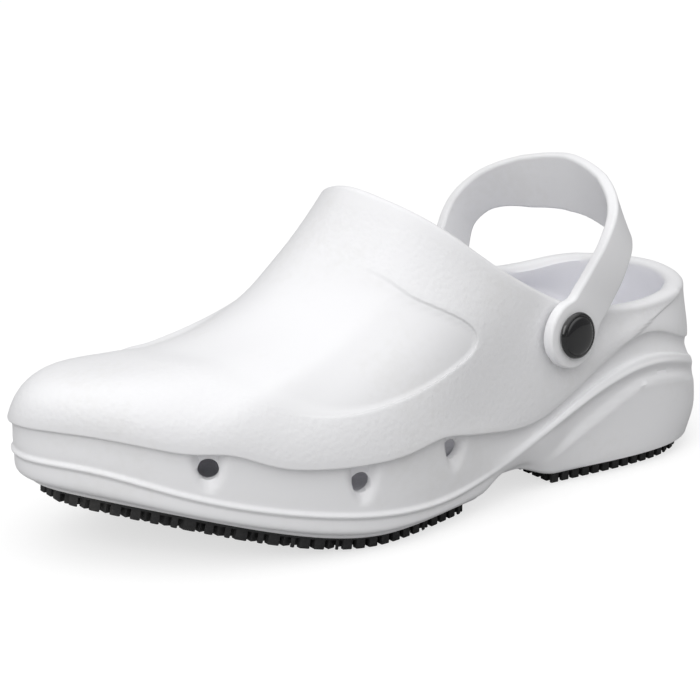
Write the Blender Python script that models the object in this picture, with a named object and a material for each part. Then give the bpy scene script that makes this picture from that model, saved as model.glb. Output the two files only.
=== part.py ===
"""Left work clog: one-shot foam upper and midsole, two rubber tread pads, a loose insole,
a heel strap and the two snap rivets it hangs on. Sizes are millimetres until the last step."""
import math

import bmesh
import bpy
import numpy as np

# Driving sizes, in millimetres.
METRE = 0.001
SEAT = 0.3
WALL = 4.0
RING_COUNT = 72
UPPER_ROWS = 11
INNER_ROWS = 7
RUNG_CELLS = 6

TREAD_TOP = 4.6
TOE_SPRING = 19.3
SPRING_FROM = 165.0
SPRING_TO = 272.0
WAIST_RISE = 5.6
WAIST_STEPS = (86.0, 106.0, 114.0, 126.0)
HEEL_BEVEL = 1.6
HEEL_BEVEL_TO = 22.0

CUP_IN = 8.5
INSOLE_IN = 9.6
INSOLE_THICK = 3.4
INSOLE_OVER = 0.5

EDGE_ROUND = 1.4
PAD_IN = 1.2
PAD_BASE = 1.3
LUG_DEEP = 3.0
LUG_SHARE = 0.76

VENT_RADIUS = 3.6
RIVET_X = 86.0
RIVET_Z = 56.0
SHANK_RADIUS = 3.0
CAP_RADIUS = 8.0
CAP_HEIGHT = 3.2
WASHER_RADIUS = 7.0
WASHER_THICK = 1.6
STRAP_END_RADIUS = 11.6
STRAP_OFF = 1.4
STRAP_EDGE = 1.2
STRAP_NECK = 15.5
STRAP_LAID = (10.0, 26.0)

# Colour and roughness of each material.
FOAM = (0.86, 0.86, 0.89, 0.5)
INSOLE_FOAM = (0.80, 0.80, 0.83, 0.7)
RUBBER = (0.02, 0.02, 0.022, 0.65)
CAP = (0.012, 0.012, 0.014, 0.12)

# Each row is a station round the shoe: toe tip, lateral side, heel back, medial side.
# x, y: plan outline at the step; low_in: inset of the bottom edge; wall_out, ridge_out, recess: offsets
# of the side wall; rim_*: collar edge; rise, bulge, lead, drop: handles of the upper's curve.
STATION_COLUMNS = ("name", "x", "y", "low_in", "wall_out", "ridge_z", "ridge_out", "recess", "step_z",
                   "rim_x", "rim_y", "rim_z", "rise", "bulge", "lead", "drop")
STATIONS = (
    ("toe_tip", 265, -15, 6.1, -1.8, 33.6, -0.8, -1.4, 44.2, 148.5, -3, 106.0, 34, -5.0, 44, 72),
    ("toe_lateral", 254, 9, 6.5, -1.8, 33.2, -0.8, -1.5, 45.0, 145.0, 10, 104.0, 31, 0.0, 37, 64),
    ("little_toe", 232, 30, 7.5, -2.0, 26.2, -0.9, -2.0, 40.3, 139.0, 21, 100.0, 30, 2.5, 30, 50),
    ("ball_fore", 202, 45, 6.0, -2.2, 18.2, -1.0, -2.4, 33.5, 130.0, 30, 93.2, 28, 3.0, 22, 34),
    ("ball", 165, 51.5, 4.3, -2.0, 12.3, -1.0, -2.4, 31.6, 117.0, 36, 82.8, 24, 2.5, 13, 19),
    ("waist_fore", 128, 46, 5.5, -2.4, 12.6, -1.0, -2.2, 30.3, 101.0, 38, 72.3, 15, 1.5, 6, 14),
    ("waist", 98, 40.5, 4.0, -1.8, 20.9, -0.3, -2.4, 28.0, 83.0, 37.4, 63.5, 13, 0.5, 2, 13),
    ("heel_fore", 44, 37.7, -1.0, 1.6, 37.8, 1.2, -1.8, 49.4, 42.0, 35.4, 58.2, 3, 0.0, 0.3, 3),
    ("heel_side", 25.6, 33.6, -1.5, 3.0, 34.6, 2.0, -0.9, 44.0, 25.5, 31.0, 58.8, 4, 0.0, 0, 4),
    ("heel_corner", 9.2, 20.4, -0.5, 3.8, 28.5, 2.2, -0.8, 39.5, 10.6, 18.6, 59.4, 5, 0.0, 0, 5),
    ("heel_back", 2.8, 0, 0.5, 4.0, 27.0, 2.2, -0.8, 39.0, 5.0, 0, 60.3, 5, 0.0, 0, 5),
    ("heel_corner_in", 9.2, -20.4, -0.5, 3.8, 28.5, 2.2, -0.8, 39.5, 10.6, -18.6, 60.2, 5, 0.0, 0, 5),
    ("heel_side_in", 25.6, -33.1, -1.5, 3.0, 34.6, 2.0, -0.9, 44.0, 25.5, -30.5, 60.0, 4, 0.0, 0, 4),
    ("heel_fore_in", 44, -36.3, -1.0, 1.6, 37.8, 1.2, -1.8, 49.4, 42.0, -34.0, 58.8, 3, 0.0, 0.3, 3),
    ("waist_in", 98, -37.5, 4.0, -1.8, 20.9, -0.3, -2.4, 28.0, 83.0, -35.4, 63.5, 13, 0.5, 2, 13),
    ("waist_fore_in", 132, -41, 5.5, -2.4, 12.6, -1.0, -2.2, 30.3, 101.0, -36, 71.5, 15, 1.5, 6, 14),
    ("ball_in", 170, -47.5, 4.3, -2.0, 12.5, -1.0, -2.4, 31.6, 117.5, -36, 81.5, 21, 2.5, 14, 20),
    ("ball_fore_in", 206, -49, 6.0, -2.2, 18.4, -1.0, -2.4, 33.5, 130.5, -32, 91.5, 19, 2.0, 28, 35),
    ("big_toe", 238, -45, 7.0, -2.0, 26.4, -0.9, -1.8, 40.6, 142.0, -25, 99.5, 28, -9.0, 50, 70),
    ("toe_medial", 258, -33, 6.0, -1.8, 32.2, -0.8, -1.4, 42.2, 147.0, -14.5, 104.0, 37, -12.0, 52, 76),
)

# Each row is a line round the side wall: the offset is a station column times a factor, plus a bit;
# the height is a share of its span (wall: bottom edge to bead, recess: bead to step), plus a lift.
SIDE_COLUMNS = ("name", "out_of", "times", "plus", "span", "share", "lift")
SIDE_WALL = (
    ("tread_edge", "low_in", -1.0, -EDGE_ROUND, "wall", 0.0, 0.0),
    ("edge_round", "low_in", -1.0, -0.2, "wall", 0.0, 0.5),
    ("edge_top", "low_in", -1.0, 0.5, "wall", 0.0, 1.7),
    ("wall", "wall_out", 1.0, 0.0, "wall", 0.4, 0.0),
    ("bead", "ridge_out", 1.0, 0.0, "wall", 1.0, 0.0),
    ("recess_low", "recess", 0.75, 0.0, "recess", 0.3, 0.0),
    ("recess_deep", "recess", 1.0, 0.0, "recess", 0.65, 0.0),
    ("step_under", "recess", 0.85, 0.0, "recess", 1.0, -0.9),
    ("step_lip", "recess", 0.12, 0.0, "recess", 1.0, -0.2),
)

# Each row is a section of the footbed.
FOOTBED_COLUMNS = ("x", "z")
FOOTBED = ((0, 36.0), (40, 32.5), (85, 30.0), (125, 21.0),
           (165, 16.0), (205, 20.0), (240, 29.0), (262, 35.5))

# Each row is a section of half the strap, from the rivet to the middle of the back.
# lean: turn of the width from upright, in degrees, leaning to the toe.
STRAP_COLUMNS = ("name", "x", "y", "z", "lean", "width", "thick")
STRAP = (
    ("rivet", 86, 40.6, 56.0, 55, 23, 4.2),
    ("leg", 75, 41.0, 67.5, 56, 17, 4.2),
    ("shoulder", 68, 41.0, 80.0, 46, 15, 4.2),
    ("turn", 61.5, 37.5, 88.0, 32, 15.5, 4.2),
    ("quarter", 53, 20.5, 94.5, 14, 20, 4.2),
    ("back", 50, 0.0, 97.0, 10, 21.5, 4.2),
)

# Each row is a vent on each side of the shoe: its place along the shoe and its height.
VENT_COLUMNS = ("x", "z")
VENTS = ((225.7, 33.9), (178, 24.3), (138.6, 27.0))

# Each row is a tread pad: where it ends along the shoe and how its lugs are set out.
PAD_COLUMNS = ("name", "rear", "front", "rows", "cells")
PADS = (("outsole_forefoot", 127.0, 253.0, 11, 8), ("outsole_heel", 9.0, 86.0, 7, 6))


def column(table: tuple, names: tuple, name: str) -> np.ndarray:
    """One named column of a table as numbers."""
    return np.array([row[names.index(name)] for row in table], float)


def cubic(knots: np.ndarray, values: np.ndarray, at: np.ndarray, period: float = 0.0) -> np.ndarray:
    """Smooth cubic through the values, closed on itself when a period is given."""
    count = len(knots)
    ends = np.append(knots, knots[0] + period) if period else knots
    step = np.diff(ends)
    matrix = np.eye(count)
    right = np.zeros(count)
    for i in range(count) if period else range(1, count - 1):
        before, after = (i - 1) % count, (i + 1) % count
        matrix[i] = 0.0
        matrix[i, before] += step[before]
        matrix[i, i] += 2 * (step[before] + step[i])
        matrix[i, after] += step[i]
        right[i] = 6 * ((values[after] - values[i]) / step[i] - (values[i] - values[before]) / step[before])
    bend = np.linalg.solve(matrix, right)
    at = np.asarray(at, float)
    at = (at - knots[0]) % period + knots[0] if period else at
    k = np.clip(np.searchsorted(ends, at, side="right") - 1, 0, len(step) - 1)
    after = (k + 1) % count
    along = at - ends[k]
    slope = (values[after] - values[k]) / step[k] - step[k] * (2 * bend[k] + bend[after]) / 6
    curl = (bend[after] - bend[k]) / (6 * step[k])
    return values[k] + along * (slope + along * (bend[k] / 2 + along * curl))


def smooth(low: float, high: float, at: np.ndarray) -> np.ndarray:
    """Smooth step from 0 at low to 1 at high."""
    share = np.clip((at - low) / (high - low), 0.0, 1.0)
    return share * share * (3 - 2 * share)


STATION_XY = np.column_stack([column(STATIONS, STATION_COLUMNS, axis) for axis in "xy"])
STATION_STEP = np.linalg.norm(np.roll(STATION_XY, -1, 0) - STATION_XY, axis=1)
STATION_AT = np.concatenate([[0.0], np.cumsum(STATION_STEP)[:-1]])
GIRTH = float(STATION_STEP.sum())


def stations(count: int) -> np.ndarray:
    """Girth positions of a ring: the same number on each side, so that they pair across the shoe."""
    share = np.arange(count) * len(STATIONS) / count
    return np.interp(share, np.arange(len(STATIONS) + 1), np.append(STATION_AT, GIRTH))


def around(name: str, at: np.ndarray) -> np.ndarray:
    """A station column read at any girth position."""
    return cubic(STATION_AT, column(STATIONS, STATION_COLUMNS, name), at, GIRTH)


def outline(at: np.ndarray, out: np.ndarray) -> np.ndarray:
    """Plan outline moved out along its own normal."""
    here = np.column_stack([around("x", at), around("y", at)])
    ahead = np.column_stack([around("x", at + 0.05), around("y", at + 0.05)])
    along = (ahead - here) / np.linalg.norm(ahead - here, axis=1, keepdims=True)
    return here + np.column_stack([along[:, 1], -along[:, 0]]) * np.reshape(out, (-1, 1))


def tread(x: np.ndarray) -> np.ndarray:
    """Height of the foam's underside: flat heel and ball, raised waist, toe spring."""
    x = np.asarray(x, float)
    toe = TOE_SPRING * smooth(SPRING_FROM, SPRING_TO, x)
    rear, full, fall, front = WAIST_STEPS
    waist = WAIST_RISE * smooth(rear, full, x) * (1 - smooth(fall, front, x))
    heel = HEEL_BEVEL * np.clip(1 - x / HEEL_BEVEL_TO, 0, None) ** 2
    return TREAD_TOP + toe + waist + heel


def footbed(x: np.ndarray) -> np.ndarray:
    """Height of the footbed in the foam cup."""
    return cubic(column(FOOTBED, FOOTBED_COLUMNS, "x"), column(FOOTBED, FOOTBED_COLUMNS, "z"), x)


def lifted(plan: np.ndarray, height: np.ndarray) -> np.ndarray:
    """Plan points given a height."""
    return np.column_stack([plan, np.broadcast_to(height, len(plan))])


def side_rows(at: np.ndarray) -> list:
    """Rows of the midsole's side wall, from the bottom edge up to the step."""
    low_z = tread(outline(at, -around("low_in", at))[:, 0])
    ridge_z, step_z = around("ridge_z", at), around("step_z", at)
    spans = {"wall": (low_z, ridge_z), "recess": (ridge_z, step_z)}
    rows = []
    for _, out_of, times, plus, span, share, lift in SIDE_WALL:
        start, end = spans[span]
        plan = outline(at, around(out_of, at) * times + plus)
        rows.append(lifted(plan, start + (end - start) * share + lift))
    return rows


def upper_point(at: np.ndarray, share: np.ndarray) -> np.ndarray:
    """Point of the upper's outside: share 0 at the step, 1 at the collar edge."""
    start = lifted(outline(at, np.zeros(len(at))), around("step_z", at) + 0.5)
    rim = np.column_stack([around("rim_" + axis, at) for axis in "xyz"])
    first = lifted(outline(at, around("bulge", at)), start[:, 2] + around("rise", at))
    away = start[:, :2] - rim[:, :2]
    away /= np.maximum(np.linalg.norm(away, axis=1, keepdims=True), 1e-6)
    second = rim + np.column_stack([away * around("lead", at)[:, None], -around("drop", at)])
    v = np.reshape(share, (-1, 1))
    low = start * (1 - v) ** 3 + first * (3 * v * (1 - v) ** 2)
    return low + second * (3 * v * v * (1 - v)) + rim * v ** 3


def upper_normal(at: np.ndarray, share: np.ndarray) -> np.ndarray:
    """Outward normal of the upper."""
    share = np.broadcast_to(share, len(at))
    low, high = np.clip(share - 0.01, 0, 1), np.clip(share + 0.01, 0, 1)
    up = upper_point(at, high) - upper_point(at, low)
    along = upper_point(at + 0.4, share) - upper_point(at - 0.4, share)
    normal = np.cross(along, up)
    return normal / np.linalg.norm(normal, axis=1, keepdims=True)


def inner_share(at: np.ndarray) -> np.ndarray:
    """Share of the upper's curve at which its inside meets the cup wall."""
    grid = np.linspace(0.0, 0.9, 46)
    heights = np.array([upper_point(at, np.full(len(at), v))[:, 2] for v in grid])
    wanted = np.maximum(heights[0] + 1.0, footbed(around("x", at)) + 7.0)
    return np.array([np.interp(wanted[i], heights[:, i], grid) for i in range(len(at))])


def inner_point(at: np.ndarray, share: np.ndarray) -> np.ndarray:
    """Point of the upper's inside: share 0 at the cup wall, 1 at the collar edge."""
    low = inner_share(at)
    v = low + (1 - low) * share
    return upper_point(at, v) - WALL * upper_normal(at, v)


def body_rows(count: int) -> list:
    """All rows of the one-piece foam body, from the bottom edge over the collar to the footbed edge."""
    at = stations(count)
    rows = side_rows(at)
    rows += [upper_point(at, np.full(count, v)) for v in np.linspace(0, 1, UPPER_ROWS) ** 1.25]
    rim = rows[-1]
    normal = upper_normal(at, np.full(count, 1.0))
    up = rim - upper_point(at, np.full(count, 0.97))
    up /= np.linalg.norm(up, axis=1, keepdims=True)
    for turn in (45, 90, 135):
        angle = math.radians(turn)
        rows.append(rim + WALL / 2 * (normal * (math.cos(angle) - 1) + up * math.sin(angle)))
    rows += [inner_point(at, share) for share in np.linspace(1, 0, INNER_ROWS)]
    edge = outline(at, np.full(count, -CUP_IN + 1.0))
    rows.append(lifted(edge, footbed(edge[:, 0]) + 1.5))
    edge = outline(at, np.full(count, -CUP_IN))
    rows.append(lifted(edge, footbed(edge[:, 0])))
    return rows


def rung(ring: np.ndarray, index: int, cells: int) -> np.ndarray:
    """Points across the shoe, from a ring's lateral point to its medial partner."""
    share = np.linspace(0, 1, cells + 1)[:, None]
    return ring[index] * (1 - share) + ring[-index] * share


def mesh_object(name: str, verts: list, faces: list, look: tuple, flat: bool = False) -> bpy.types.Object:
    """Make a named solid with its own plain material, faces outward."""
    mesh = bpy.data.meshes.new(name)
    mesh.from_pydata([tuple(v) for v in np.asarray(verts) * METRE], [], faces)
    shell = bmesh.new()
    shell.from_mesh(mesh)
    bmesh.ops.remove_doubles(shell, verts=shell.verts, dist=1e-6)
    bmesh.ops.recalc_face_normals(shell, faces=shell.faces)
    if shell.calc_volume(signed=True) < 0:
        bmesh.ops.reverse_faces(shell, faces=shell.faces)
    shell.to_mesh(mesh)
    shell.free()
    if not flat:
        mesh.shade_smooth()
    solid = bpy.data.objects.new(name, mesh)
    bpy.context.collection.objects.link(solid)
    material = bpy.data.materials.new(name)
    material.use_nodes = True
    shader = material.node_tree.nodes["Principled BSDF"]
    shader.inputs["Base Color"].default_value = (*look[:3], 1.0)
    shader.inputs["Roughness"].default_value = look[3]
    mesh.materials.append(material)
    return solid


class Shell:
    """Gathers points and faces of one closed solid."""

    def __init__(self):
        self.verts = []
        self.faces = []

    def add(self, points: np.ndarray) -> list:
        """Add points and give back their numbers."""
        first = len(self.verts)
        self.verts += [tuple(p) for p in points]
        return list(range(first, len(self.verts)))

    def band(self, low: list, high: list) -> None:
        """Close two equal rings with four-sided faces."""
        count = len(low)
        for i in range(count):
            j = (i + 1) % count
            self.faces.append((low[i], low[j], high[j], high[i]))

    def fill(self, ring: list, points: np.ndarray, height, cells: int) -> None:
        """Close a ring across the shoe with rungs; height gives each inner point its height."""
        half = len(ring) // 2
        lines = [[ring[0]]]
        for i in range(1, half):
            line = rung(points, i, cells)[1:-1]
            line[:, 2] = height(line)
            lines.append([ring[i]] + self.add(line) + [ring[-i]])
        lines.append([ring[half]])
        for here, ahead in zip(lines, lines[1:]):
            for k in range(cells):
                corners = (here[min(k, len(here) - 1)], here[min(k + 1, len(here) - 1)],
                           ahead[min(k + 1, len(ahead) - 1)], ahead[min(k, len(ahead) - 1)])
                face = tuple(dict.fromkeys(corners))
                self.faces.append(face)


def build_body() -> bpy.types.Object:
    """Upper and midsole, moulded whole: hollow, open at the collar."""
    shell = Shell()
    rows = body_rows(RING_COUNT)
    rings = [shell.add(row) for row in rows]
    for low, high in zip(rings, rings[1:]):
        shell.band(low, high)
    shell.fill(rings[0], rows[0], lambda line: tread(line[:, 0]), RUNG_CELLS)
    shell.fill(rings[-1], rows[-1], lambda line: footbed(line[:, 0]), RUNG_CELLS)
    return mesh_object("upper_and_midsole", shell.verts, shell.faces, FOAM)


def bottom_edge(inset: float) -> np.ndarray:
    """The foam's bottom edge moved in, as a fine closed line in plan."""
    at = stations(360)
    return outline(at, -around("low_in", at) - EDGE_ROUND - inset)


def border(grid: list) -> list:
    """Numbers round the edge of a grid of points."""
    right = [line[-1] for line in grid[1:-1]]
    left = [line[0] for line in grid[-2:0:-1]]
    return grid[0] + right + grid[-1][::-1] + left


def build_pad(name: str, rear: float, front: float, rows: int, cells: int) -> bpy.types.Object:
    """A rubber tread pad: a base that follows the foam's underside, with a grid of lugs."""
    edge = bottom_edge(PAD_IN)
    heel = int(np.argmin(edge[:, 0]))
    toe = int(np.argmax(np.roll(edge[:, 0], -heel)))
    loop = np.roll(edge, -heel, 0)
    medial, lateral = loop[:toe + 1], np.vstack([loop[toe:], loop[:1]])[::-1]
    shell = Shell()
    xs = np.linspace(rear, front, rows + 1)
    left = np.interp(xs, lateral[:, 0], lateral[:, 1])
    right = np.interp(xs, medial[:, 0], medial[:, 1])
    share = np.linspace(0, 1, cells + 1)
    plan = np.array([[(x, a + (b - a) * k) for k in share] for x, a, b in zip(xs, left, right)])

    def level(drop: float) -> list:
        """Numbers of a grid of points below the foam's underside."""
        return [shell.add(lifted(line, tread(line[:, 0]) - SEAT - drop)) for line in plan]

    top, base = level(0.0), level(PAD_BASE)
    for i in range(rows):
        for j in range(cells):
            shell.faces.append((top[i][j], top[i][j + 1], top[i + 1][j + 1], top[i + 1][j]))
            corners = np.array([plan[i, j], plan[i, j + 1], plan[i + 1, j + 1], plan[i + 1, j]])
            root = [base[i][j], base[i][j + 1], base[i + 1][j + 1], base[i + 1][j]]
            lug = corners.mean(0) + (corners - corners.mean(0)) * LUG_SHARE
            foot = shell.add(lifted(lug, tread(lug[:, 0]) - SEAT - PAD_BASE))
            tip = shell.add(lifted(lug, tread(lug[:, 0]) - SEAT - PAD_BASE - LUG_DEEP))
            shell.band(root, foot)
            shell.band(foot, tip)
            shell.faces.append(tuple(tip))
    shell.band(border(top), border(base))
    return mesh_object(name, shell.verts, shell.faces, RUBBER, flat=True)


def build_insole() -> bpy.types.Object:
    """Loose insole lying in the cup."""
    count = 48
    at = stations(count)
    shell = Shell()
    rows = []
    for inset, over in ((0.8, 0.0), (0.0, 0.8), (0.0, INSOLE_THICK - 1.0), (1.0, INSOLE_THICK)):
        edge = outline(at, np.full(count, -INSOLE_IN - inset))
        rows.append(lifted(edge, footbed(edge[:, 0]) + INSOLE_OVER + over))
    rings = [shell.add(row) for row in rows]
    for low, high in zip(rings, rings[1:]):
        shell.band(low, high)
    shell.fill(rings[0], rows[0], lambda line: footbed(line[:, 0]) + INSOLE_OVER, 4)
    shell.fill(rings[-1], rows[-1], lambda line: footbed(line[:, 0]) + INSOLE_OVER + INSOLE_THICK, 4)
    return mesh_object("insole", shell.verts, shell.faces, INSOLE_FOAM)


def wall_at(x: float, z: float, side: int) -> tuple:
    """Point of the upper's outside at a place and height, and its outward normal."""
    at = np.linspace(0, GIRTH, 721)
    at = at[np.sign(around("y", at)) == side]
    best = None
    for share in np.linspace(0.02, 0.98, 97):
        points = upper_point(at, np.full(len(at), share))
        miss = np.hypot(points[:, 0] - x, points[:, 2] - z)
        k = int(np.argmin(miss))
        if best is None or miss[k] < best[0]:
            best = (miss[k], points[k], upper_normal(at[k:k + 1], np.array([share]))[0])
    return best[1], best[2]


def rivet_seat(side: int) -> tuple:
    """Place of a rivet on the wall and the direction it points out."""
    return wall_at(RIVET_X, RIVET_Z, side)


def strap_path() -> tuple:
    """Centre line of the strap from rivet to rivet, with lean, width and thickness along it."""
    half = {name: column(STRAP, STRAP_COLUMNS, name) for name in STRAP_COLUMNS[1:]}
    ends = {side: rivet_seat(side) for side in (1, -1)}
    lines = {}
    for side in (1, -1):
        place = np.column_stack([half["x"], half["y"] * side, half["z"]])
        point, normal = ends[side]
        place[0] = point + normal * (STRAP_OFF + half["thick"][0] / 2)
        place[1] -= normal * ((place[1] - place[0]) @ normal)
        lines[side] = place
    full = np.vstack([lines[1], lines[-1][-2::-1]])
    along = np.concatenate([[0.0], np.cumsum(np.linalg.norm(np.diff(full, axis=0), axis=1))])
    mirror = {name: np.concatenate([half[name], half[name][-2::-1]]) for name in ("lean", "width", "thick")}
    return full, along, mirror, ends


def strap_sections() -> list:
    """Closed sections of the strap, each a ring of points."""
    full, along, mirror, ends = strap_path()
    length = along[-1]
    tail = STRAP_END_RADIUS * np.sin(np.radians((86, 72, 56, 38, 18)))
    eye = np.array([0, 4, 8, 12])
    inner = np.concatenate([eye, np.linspace(17, length - 17, 25), length - eye[::-1]])
    places = np.concatenate([-tail, inner, length + tail[::-1]])
    sections = []
    for place in places:
        s = min(max(place, 0.0), length)
        centre = np.array([cubic(along, full[:, k], np.array([s]))[0] for k in range(3)])
        near = np.array([cubic(along, full[:, k], np.array([max(s - 0.2, 0)]))[0] for k in range(3)])
        far = np.array([cubic(along, full[:, k], np.array([min(s + 0.2, length)]))[0] for k in range(3)])
        tangent = (far - near) / np.linalg.norm(far - near)
        lean = math.radians(np.interp(s, along, mirror["lean"]))
        width = float(np.interp(s, along, mirror["width"]))
        thick = float(np.interp(s, along, mirror["thick"]))
        wide = np.array([math.sin(lean), 0.0, math.cos(lean)])
        side = 1 if s < length / 2 else -1
        blend = float(smooth(*STRAP_LAID, min(s, length - s)))
        out = np.cross(tangent, wide)
        out = ends[side][1] * (1 - blend) + out / np.linalg.norm(out) * blend
        tangent -= out * (tangent @ out) / (out @ out)
        tangent /= np.linalg.norm(tangent)
        out /= np.linalg.norm(out)
        wide = np.cross(out, tangent)
        over = abs(place - s)
        centre = centre + tangent * (place - s)
        reach = min(s, length - s)
        round_end = 2 * math.sqrt(max(STRAP_END_RADIUS ** 2 - (over if over else reach) ** 2, 0.01))
        width = round_end if over else max(width if reach > 11 else 0.0, round_end, STRAP_NECK)
        a, b, c = width / 2, thick / 2, min(STRAP_EDGE, width / 5)
        upper = ((a - c, b), (c - a, b), (-a, b - c), (-a, c - b))
        shape = upper + tuple((-w, -t) for w, t in upper)
        sections.append(np.array([centre + wide * w + out * t for w, t in shape]))
    return sections


def build_strap() -> bpy.types.Object:
    """Heel strap with round ends that hang on the rivets."""
    shell = Shell()
    rings = [shell.add(section) for section in strap_sections()]
    for low, high in zip(rings, rings[1:]):
        shell.band(low, high)
    shell.faces.append(tuple(rings[0]))
    shell.faces.append(tuple(rings[-1]))
    return mesh_object("heel_strap", shell.verts, shell.faces, FOAM)


def lathe(name: str, seat: np.ndarray, axis: np.ndarray, profile: tuple, look: tuple, count: int = 24):
    """Turn a profile of (radius, height) about an axis; a zero radius closes to a point."""
    side = np.cross(axis, (0.0, 0.0, 1.0))
    side /= np.linalg.norm(side)
    other = np.cross(axis, side)
    angles = np.arange(count) * 2 * math.pi / count
    shell = Shell()
    rings = []
    for radius, height in profile:
        centre = seat + axis * height
        if radius == 0:
            rings.append(shell.add(centre[None, :]) * count)
        else:
            ring = centre + radius * (np.outer(np.cos(angles), side) + np.outer(np.sin(angles), other))
            rings.append(shell.add(ring))
    loops = list(zip(rings, rings[1:]))
    if profile[0][0] and profile[-1][0]:
        loops.append((rings[-1], rings[0]))
    for low, high in loops:
        for i in range(count):
            j = (i + 1) % count
            face = tuple(dict.fromkeys((low[i], low[j], high[j], high[i])))
            shell.faces.append(face)
    return mesh_object(name, shell.verts, shell.faces, look)


def build_rivet(name: str, side: int) -> None:
    """A snap rivet: cap with shank outside, washer inside the upper."""
    seat, axis = rivet_seat(side)
    face = STRAP_OFF + column(STRAP, STRAP_COLUMNS, "thick")[0] + SEAT
    inside = -WALL - SEAT - WASHER_THICK
    rim = face + 1.0
    dome = [(CAP_RADIUS * math.cos(t), rim + (CAP_HEIGHT - 1.0) * math.sin(t))
            for t in np.radians((0, 25, 50, 72))]
    profile = ((0, inside), (SHANK_RADIUS, inside), (SHANK_RADIUS, face), (CAP_RADIUS, face), *dome,
               (0, face + CAP_HEIGHT))
    lathe(name, seat, axis, profile, CAP)
    hole = SHANK_RADIUS + SEAT
    washer = ((hole, inside), (WASHER_RADIUS - 0.6, inside), (WASHER_RADIUS, inside + 0.6),
              (WASHER_RADIUS, inside + WASHER_THICK), (hole, inside + WASHER_THICK))
    lathe(name + "_back", seat, axis, washer, CAP)


def cut_hole(solid: bpy.types.Object, seat: np.ndarray, axis: np.ndarray, radius: float,
             low: float, high: float) -> None:
    """Cut a round hole through a solid."""
    cutter = lathe("cutter", seat, axis, ((0, low), (radius, low), (radius, high), (0, high)), FOAM, 16)
    cutter.hide_render = True
    cutter.display_type = "WIRE"
    cut = solid.modifiers.new("hole", "BOOLEAN")
    cut.operation = "DIFFERENCE"
    cut.solver = "EXACT"
    cut.object = cutter
    bpy.ops.object.select_all(action="DESELECT")
    bpy.context.view_layer.objects.active = solid
    bpy.ops.object.modifier_apply(modifier=cut.name)
    bpy.data.objects.remove(cutter, do_unlink=True)


def cut_vents(body: bpy.types.Object) -> None:
    """Cut the vents through both side walls."""
    at = stations(720)
    plan = outline(at, np.zeros(len(at)))
    inward = plan - outline(at, np.ones(len(at)))
    for side in (1, -1):
        for x, z in VENTS:
            miss = np.abs(plan[:, 0] - x) + 1000.0 * (np.sign(plan[:, 1]) != side)
            k = int(np.argmin(miss))
            cut_hole(body, np.array([*plan[k], z]), np.array([*-inward[k], 0.0]), VENT_RADIUS, -14.0, 4.0)


def clear() -> None:
    """Remove whatever the file holds."""
    for item in list(bpy.data.objects):
        bpy.data.objects.remove(item, do_unlink=True)


def centre_all() -> None:
    """Move every piece so that the middle of the clog's bottom is the origin."""
    solids = [item for item in bpy.data.objects if item.type == "MESH"]
    points = np.array([v.co for item in solids for v in item.data.vertices])
    low, high = points.min(0), points.max(0)
    middle = (low + high) / 2
    for item in solids:
        for vert in item.data.vertices:
            vert.co.x -= middle[0]
            vert.co.y -= middle[1]
            vert.co.z -= low[2]


def main() -> None:
    """Build every piece of the clog."""
    clear()
    body = build_body()
    strap = build_strap()
    cut_vents(body)
    for side, name in ((1, "rivet_lateral"), (-1, "rivet_medial")):
        seat, axis = rivet_seat(side)
        for solid in (body, strap):
            cut_hole(solid, seat, axis, SHANK_RADIUS + SEAT, -9.0, 9.0)
        build_rivet(name, side)
    build_insole()
    for pad in PADS:
        build_pad(*pad)
    centre_all()


main()
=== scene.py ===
"""Dresses a white moulded work clog: foam body, tread pads, insole, heel strap and snap rivets.

Lengths are millimetres of the shoe's drawing until a mesh is placed. The drawing runs from the heel at
x = 0 to the toe at x = 265, with y to the lateral side and z up from the floor.
"""

import logging
import math
from collections.abc import Iterator
from contextlib import contextmanager
from dataclasses import dataclass, field, fields
from enum import Enum

import bpy
import numpy as np
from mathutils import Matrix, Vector


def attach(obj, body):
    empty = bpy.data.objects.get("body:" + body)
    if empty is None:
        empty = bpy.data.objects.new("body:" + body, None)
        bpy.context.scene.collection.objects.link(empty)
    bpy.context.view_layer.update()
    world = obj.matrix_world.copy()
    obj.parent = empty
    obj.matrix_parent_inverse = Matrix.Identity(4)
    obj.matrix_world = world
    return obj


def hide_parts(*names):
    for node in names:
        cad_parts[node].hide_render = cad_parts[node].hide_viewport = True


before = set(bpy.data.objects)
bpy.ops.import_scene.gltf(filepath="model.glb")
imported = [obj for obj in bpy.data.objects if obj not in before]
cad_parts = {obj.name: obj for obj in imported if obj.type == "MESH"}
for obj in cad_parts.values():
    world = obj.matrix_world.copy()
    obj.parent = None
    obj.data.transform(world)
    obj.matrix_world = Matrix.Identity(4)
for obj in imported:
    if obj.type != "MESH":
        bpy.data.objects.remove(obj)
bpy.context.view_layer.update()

LOG = logging.getLogger("clog")
MM = 0.001
# The drawing's point that is the frame's origin.
ORIGIN = np.array([131.9, 1.101, 0.0])
# Gap left between two pieces that lie on each other.
SEAT = 0.3
# Radius of the rivet holes, and where their cutters end along the rivet's axis.
SHANK_HOLE = 3.3
SHANK_ENDS = (-9.0, 9.0)
# Distance from the vamp panel's edge beyond which marks no longer change.
PANEL_FAR = 8.0
# Point attributes of the foam, with the value of a place that has no mark.
PLAIN_MARKS = {"grain": 0.0, "inner": 0.0, "panel": -PANEL_FAR, "crisp": 0.0}
BODY = "root"


class Slot(Enum):
    """Material slots of the record."""

    FOAM = "foam"
    TREAD = "tread"
    INSOLE = "insole"
    RIVET = "rivet"


class Side(Enum):
    """The two sides of the shoe, by the sign of y."""

    LATERAL = 1
    MEDIAL = -1


RIVET_NODES = {Side.LATERAL: "rivet_lateral", Side.MEDIAL: "rivet_medial"}
# Seat on the wall and way out of each rivet.
Axes = dict[Side, tuple[np.ndarray, np.ndarray]]


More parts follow.
